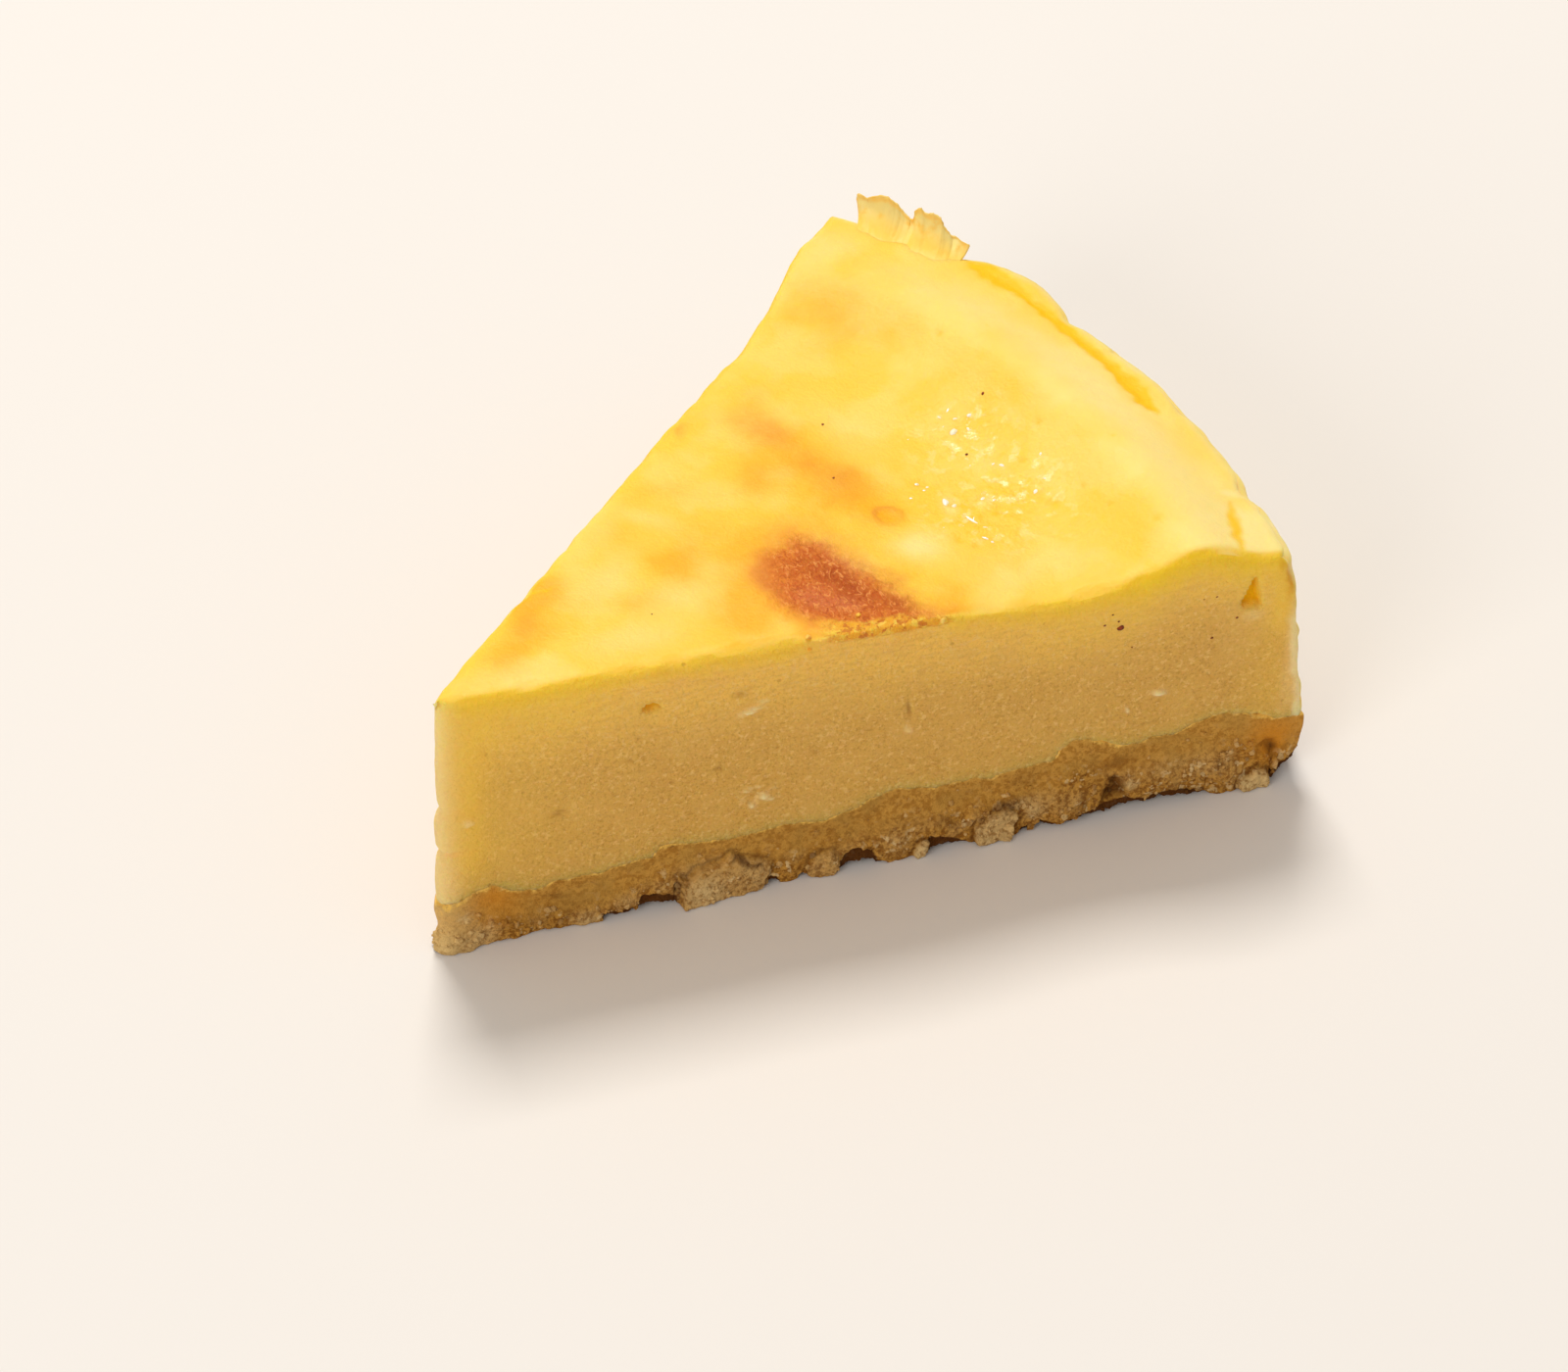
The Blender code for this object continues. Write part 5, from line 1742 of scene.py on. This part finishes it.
def bead(centre, out, along, half_length, half_width, height):
    """A low dome with an uneven edge on a surface: its points and faces."""
    aside = np.cross(out, along)
    turn = 2.0 * np.pi * np.arange(BEAD_SIDES) / BEAD_SIDES
    wobble_x, wobble_y = np.cos(turn) * 1.3 + centre[0] * 7.0, np.sin(turn) * 1.3 + centre[1] * 7.0
    uneven = 1.0 + 0.45 * grain(np.stack([wobble_x, wobble_y, turn * 0.0], axis=1), 1.0, 5)
    points = [centre + out * height]
    for ring in range(1, BEAD_RINGS + 1):
        share = ring / BEAD_RINGS
        for a, wide in zip(turn, uneven * share):
            across = along * (half_length * wide * math.cos(a)) + aside * (half_width * wide * math.sin(a))
            points.append(centre + across + out * height * (1.0 - share**2) - out * BEAD_SINK)
    faces = [(0, 1 + k, 1 + (k + 1) % BEAD_SIDES) for k in range(BEAD_SIDES)]
    for a in range(1, 1 + (BEAD_RINGS - 1) * BEAD_SIDES, BEAD_SIDES):
        b = a + BEAD_SIDES
        for k in range(BEAD_SIDES):
            m = (k + 1) % BEAD_SIDES
            faces.append((a + k, b + k, b + m, a + m))
    last = 1 + (BEAD_RINGS - 1) * BEAD_SIDES
    faces.append(tuple(last + k for k in reversed(range(BEAD_SIDES))))
    return points, faces


def surface_under(body, start, direction):
    """The place where a line from start first meets a finished piece, in the slice's millimetres."""
    found, place, normal, _ = body.ray_cast(Vector(to_frame(np.array(start))), Vector(direction))
    if not found:
        raise RuntimeError("a bead or speck has no surface under it")
    return np.array(place) / MM - POINT, np.array(normal)


def make_beads(name, body, marks, finish):
    """Small domes on a piece, each mark giving where to look from, which way, its sizes and its turn."""
    points, faces = [], []
    for start, direction, half_length, half_width, height, turn in marks:
        place, out = surface_under(body, start, direction)
        sideways = np.array((math.cos(math.radians(turn)), math.sin(math.radians(turn)), 0.0))
        if abs(out[2]) < STEEP:
            sideways = NEAR_ALONG
        along = sideways - out * (sideways @ out)
        dome, sides = bead(place, out, along / np.linalg.norm(along), half_length, half_width, height)
        faces += [tuple(len(points) + k for k in side) for side in sides]
        points += dome
    return make_piece(name, np.array(points), faces, finish)


def glint_marks():
    """Where the beads of painted highlight are: the large ones as listed, and small ones strewn between
    them.
    """
    marks = []
    for x, y, length, width, turn in GLINT_BEADS:
        marks.append(((x, y, OVERHEAD), DOWN, length, width, 0.5 * width, turn))
    draw = np.random.default_rng(BEAD_SEED)
    zones = np.array([zone[:4] for zone in WET_ZONE])
    for _ in range(MORE_BEADS):
        x, y, reach_x, reach_y = zones[draw.integers(len(zones))]
        at = (x + draw.normal() * reach_x * 0.6, y + draw.normal() * reach_y * 0.6, OVERHEAD)
        size = 0.08 + 0.12 * draw.random() ** 2
        marks.append((at, DOWN, size * (1.0 + 2.0 * draw.random()), size, 0.5 * size, 180.0 * draw.random()))
    return marks


def speck_marks():
    """Where the dark specks are, on the top and on the near cut."""
    marks = [((x, y, OVERHEAD), DOWN, size, 0.7 * size, SPECK_HEIGHT, 30.0) for x, y, size in TOP_SPECKS]
    for s, z, size in CUT_SPECKS:
        start = NEAR_ALONG * s + NEAR_OUT * BEFORE_CUT + np.array((0.0, 0.0, z))
        marks.append((tuple(start), tuple(-NEAR_OUT), size, 0.85 * size, SPECK_HEIGHT, 0.0))
    return marks


# Colours of the beads, which are painted highlights, the specks and the crumbs of the top
GLINT_MILK, GLINT_CLEAR = colour(255, 244, 206), colour(255, 251, 236)
SPECK_DARK, SPECK_RED = colour(96, 34, 10), colour(150, 62, 14)
CRUMB_AMBER, CRUMB_PALE, CRUMB_TOAST = colour(252, 194, 62), colour(255, 220, 116), colour(224, 130, 26)


def glint_bead_material():
    """Painted highlights on the top: milky white, glassy beads standing for the glints of moisture."""
    made, start = new_material("glint_bead")
    inputs = {
        "Base Color": laid_over(GLINT_MILK, GLINT_CLEAR, sharpened(speckle(start, 1.0), 0.4, 0.6)),
        "Roughness": 0.10 + 0.06 * speckle(start, 0.4),
        "Specular IOR Level": 0.9,
    }
    finish_material(start, inputs)
    return made


def speck_material():
    """Dark red-brown specks of spice."""
    made, start = new_material("spice_speck")
    surface = laid_over(SPECK_DARK, SPECK_RED, sharpened(speckle(start, 0.25), 0.4, 0.6))
    finish_material(start, {"Base Color": surface, "Roughness": 0.45, "Specular IOR Level": 0.2})
    return made


def curd_crumb_material():
    """Crumbs of baked top that the knife dragged: amber, some paler."""
    made, start = new_material("baked_top_crumb")
    surface = laid_over(CRUMB_AMBER, CRUMB_PALE, measured(start, "tone"))
    surface = laid_over(surface, CRUMB_TOAST, sharpened(speckle(start, 1.4), 0.52, 0.62) * 0.7)
    inputs = {
        "Base Color": surface,
        "Roughness": 0.5 + 0.1 * speckle(start, 0.5),
        "Normal": bumped(speckle(start, 0.3), 0.1),
        "Specular IOR Level": 0.25,
    }
    finish_material(start, inputs)
    return made


# The set around the slice: the camera, the floor, the surround and the lamps

CAMERA_AT = Vector((-337.776, -393.507, 491.205)) * MM
CAMERA_AIM = Vector((-4.752, -3.586, 14.700)) * MM
LENS, SENSOR = 144.77, 36.0
FLOOR_SIZE, FLOOR_COLOUR = 8.0, (0.82, 0.785, 0.75, 1.0)
SURROUND_COLOUR, SURROUND_STRENGTH = (1.0, 0.965, 0.92, 1.0), 0.46

# Each lamp's name, place, aim, size, power and tint
LAMPS = (
    ("key", (0.42, 0.72, 1.5), (0.0, 0.0, 0.0), 0.5, 19.2, (1.0, 0.96, 0.9)),
    ("left", (-1.25, -0.35, 0.75), (0.0, 0.0, 0.02), 0.7, 6.1, (1.0, 0.97, 0.93)),
)


def make_camera():
    """The camera, at the photograph's angle."""
    data = bpy.data.cameras.new("camera")
    data.lens, data.sensor_width, data.sensor_fit = LENS, SENSOR, "HORIZONTAL"
    made = bpy.data.objects.new("camera", data)
    made.location = CAMERA_AT
    made.rotation_euler = (CAMERA_AIM - CAMERA_AT).to_track_quat("-Z", "Y").to_euler()
    bpy.context.scene.collection.objects.link(made)
    bpy.context.scene.camera = made


def make_light(name, place, aim, size, power, tint):
    """A soft square lamp."""
    data = bpy.data.lights.new(name, "AREA")
    data.size, data.energy, data.color = size, power, tint
    made = bpy.data.objects.new(name, data)
    made.location = place
    made.rotation_euler = (Vector(aim) - Vector(place)).to_track_quat("-Z", "Y").to_euler()
    bpy.context.scene.collection.objects.link(made)


def make_set():
    """A pale floor, a soft pale surround and the lamps."""
    bpy.ops.mesh.primitive_plane_add(size=FLOOR_SIZE, location=(0.0, 0.0, 0.0))
    floor = bpy.context.object
    floor.name = "floor"
    made, start = new_material("pale_floor")
    finish_material(start, {"Base Color": FLOOR_COLOUR, "Roughness": 0.7})
    floor.data.materials.append(made)
    world = bpy.data.worlds.new("surround")
    world.use_nodes = True
    background = world.node_tree.nodes["Background"]
    background.inputs["Color"].default_value = SURROUND_COLOUR
    background.inputs["Strength"].default_value = SURROUND_STRENGTH
    bpy.context.scene.world = world
    for lamp in LAMPS:
        make_light(*lamp)
    bpy.context.scene.view_settings.view_transform = "Standard"


make_camera()
make_set()

filling_body = make_filling(cheese_material())
torn_skin = make_torn_skin(skin_material())
biscuit_body = make_base(biscuit_material("broken_biscuit"))
crumb_finish = biscuit_material("biscuit_crumb")
biscuit_crumbs = scatter_crumbs("biscuit_crumbs", biscuit_body, BISCUIT_CRUMBS, crumb_finish)
top_crumbs = scatter_crumbs("top_crumbs", filling_body, TOP_CRUMBS, curd_crumb_material())
# Beads painted white as the glints of the wet flecks
glint_beads = make_beads("glint_beads", filling_body, glint_marks(), glint_bead_material())
spice_specks = make_beads("spice_specks", filling_body, speck_marks(), speck_material())

for piece in (filling_body, torn_skin, top_crumbs, glint_beads, spice_specks):
    belongs(piece, "set_filling", "filling")
for piece in (biscuit_body, biscuit_crumbs):
    belongs(piece, "baked_biscuit", "biscuit_base")
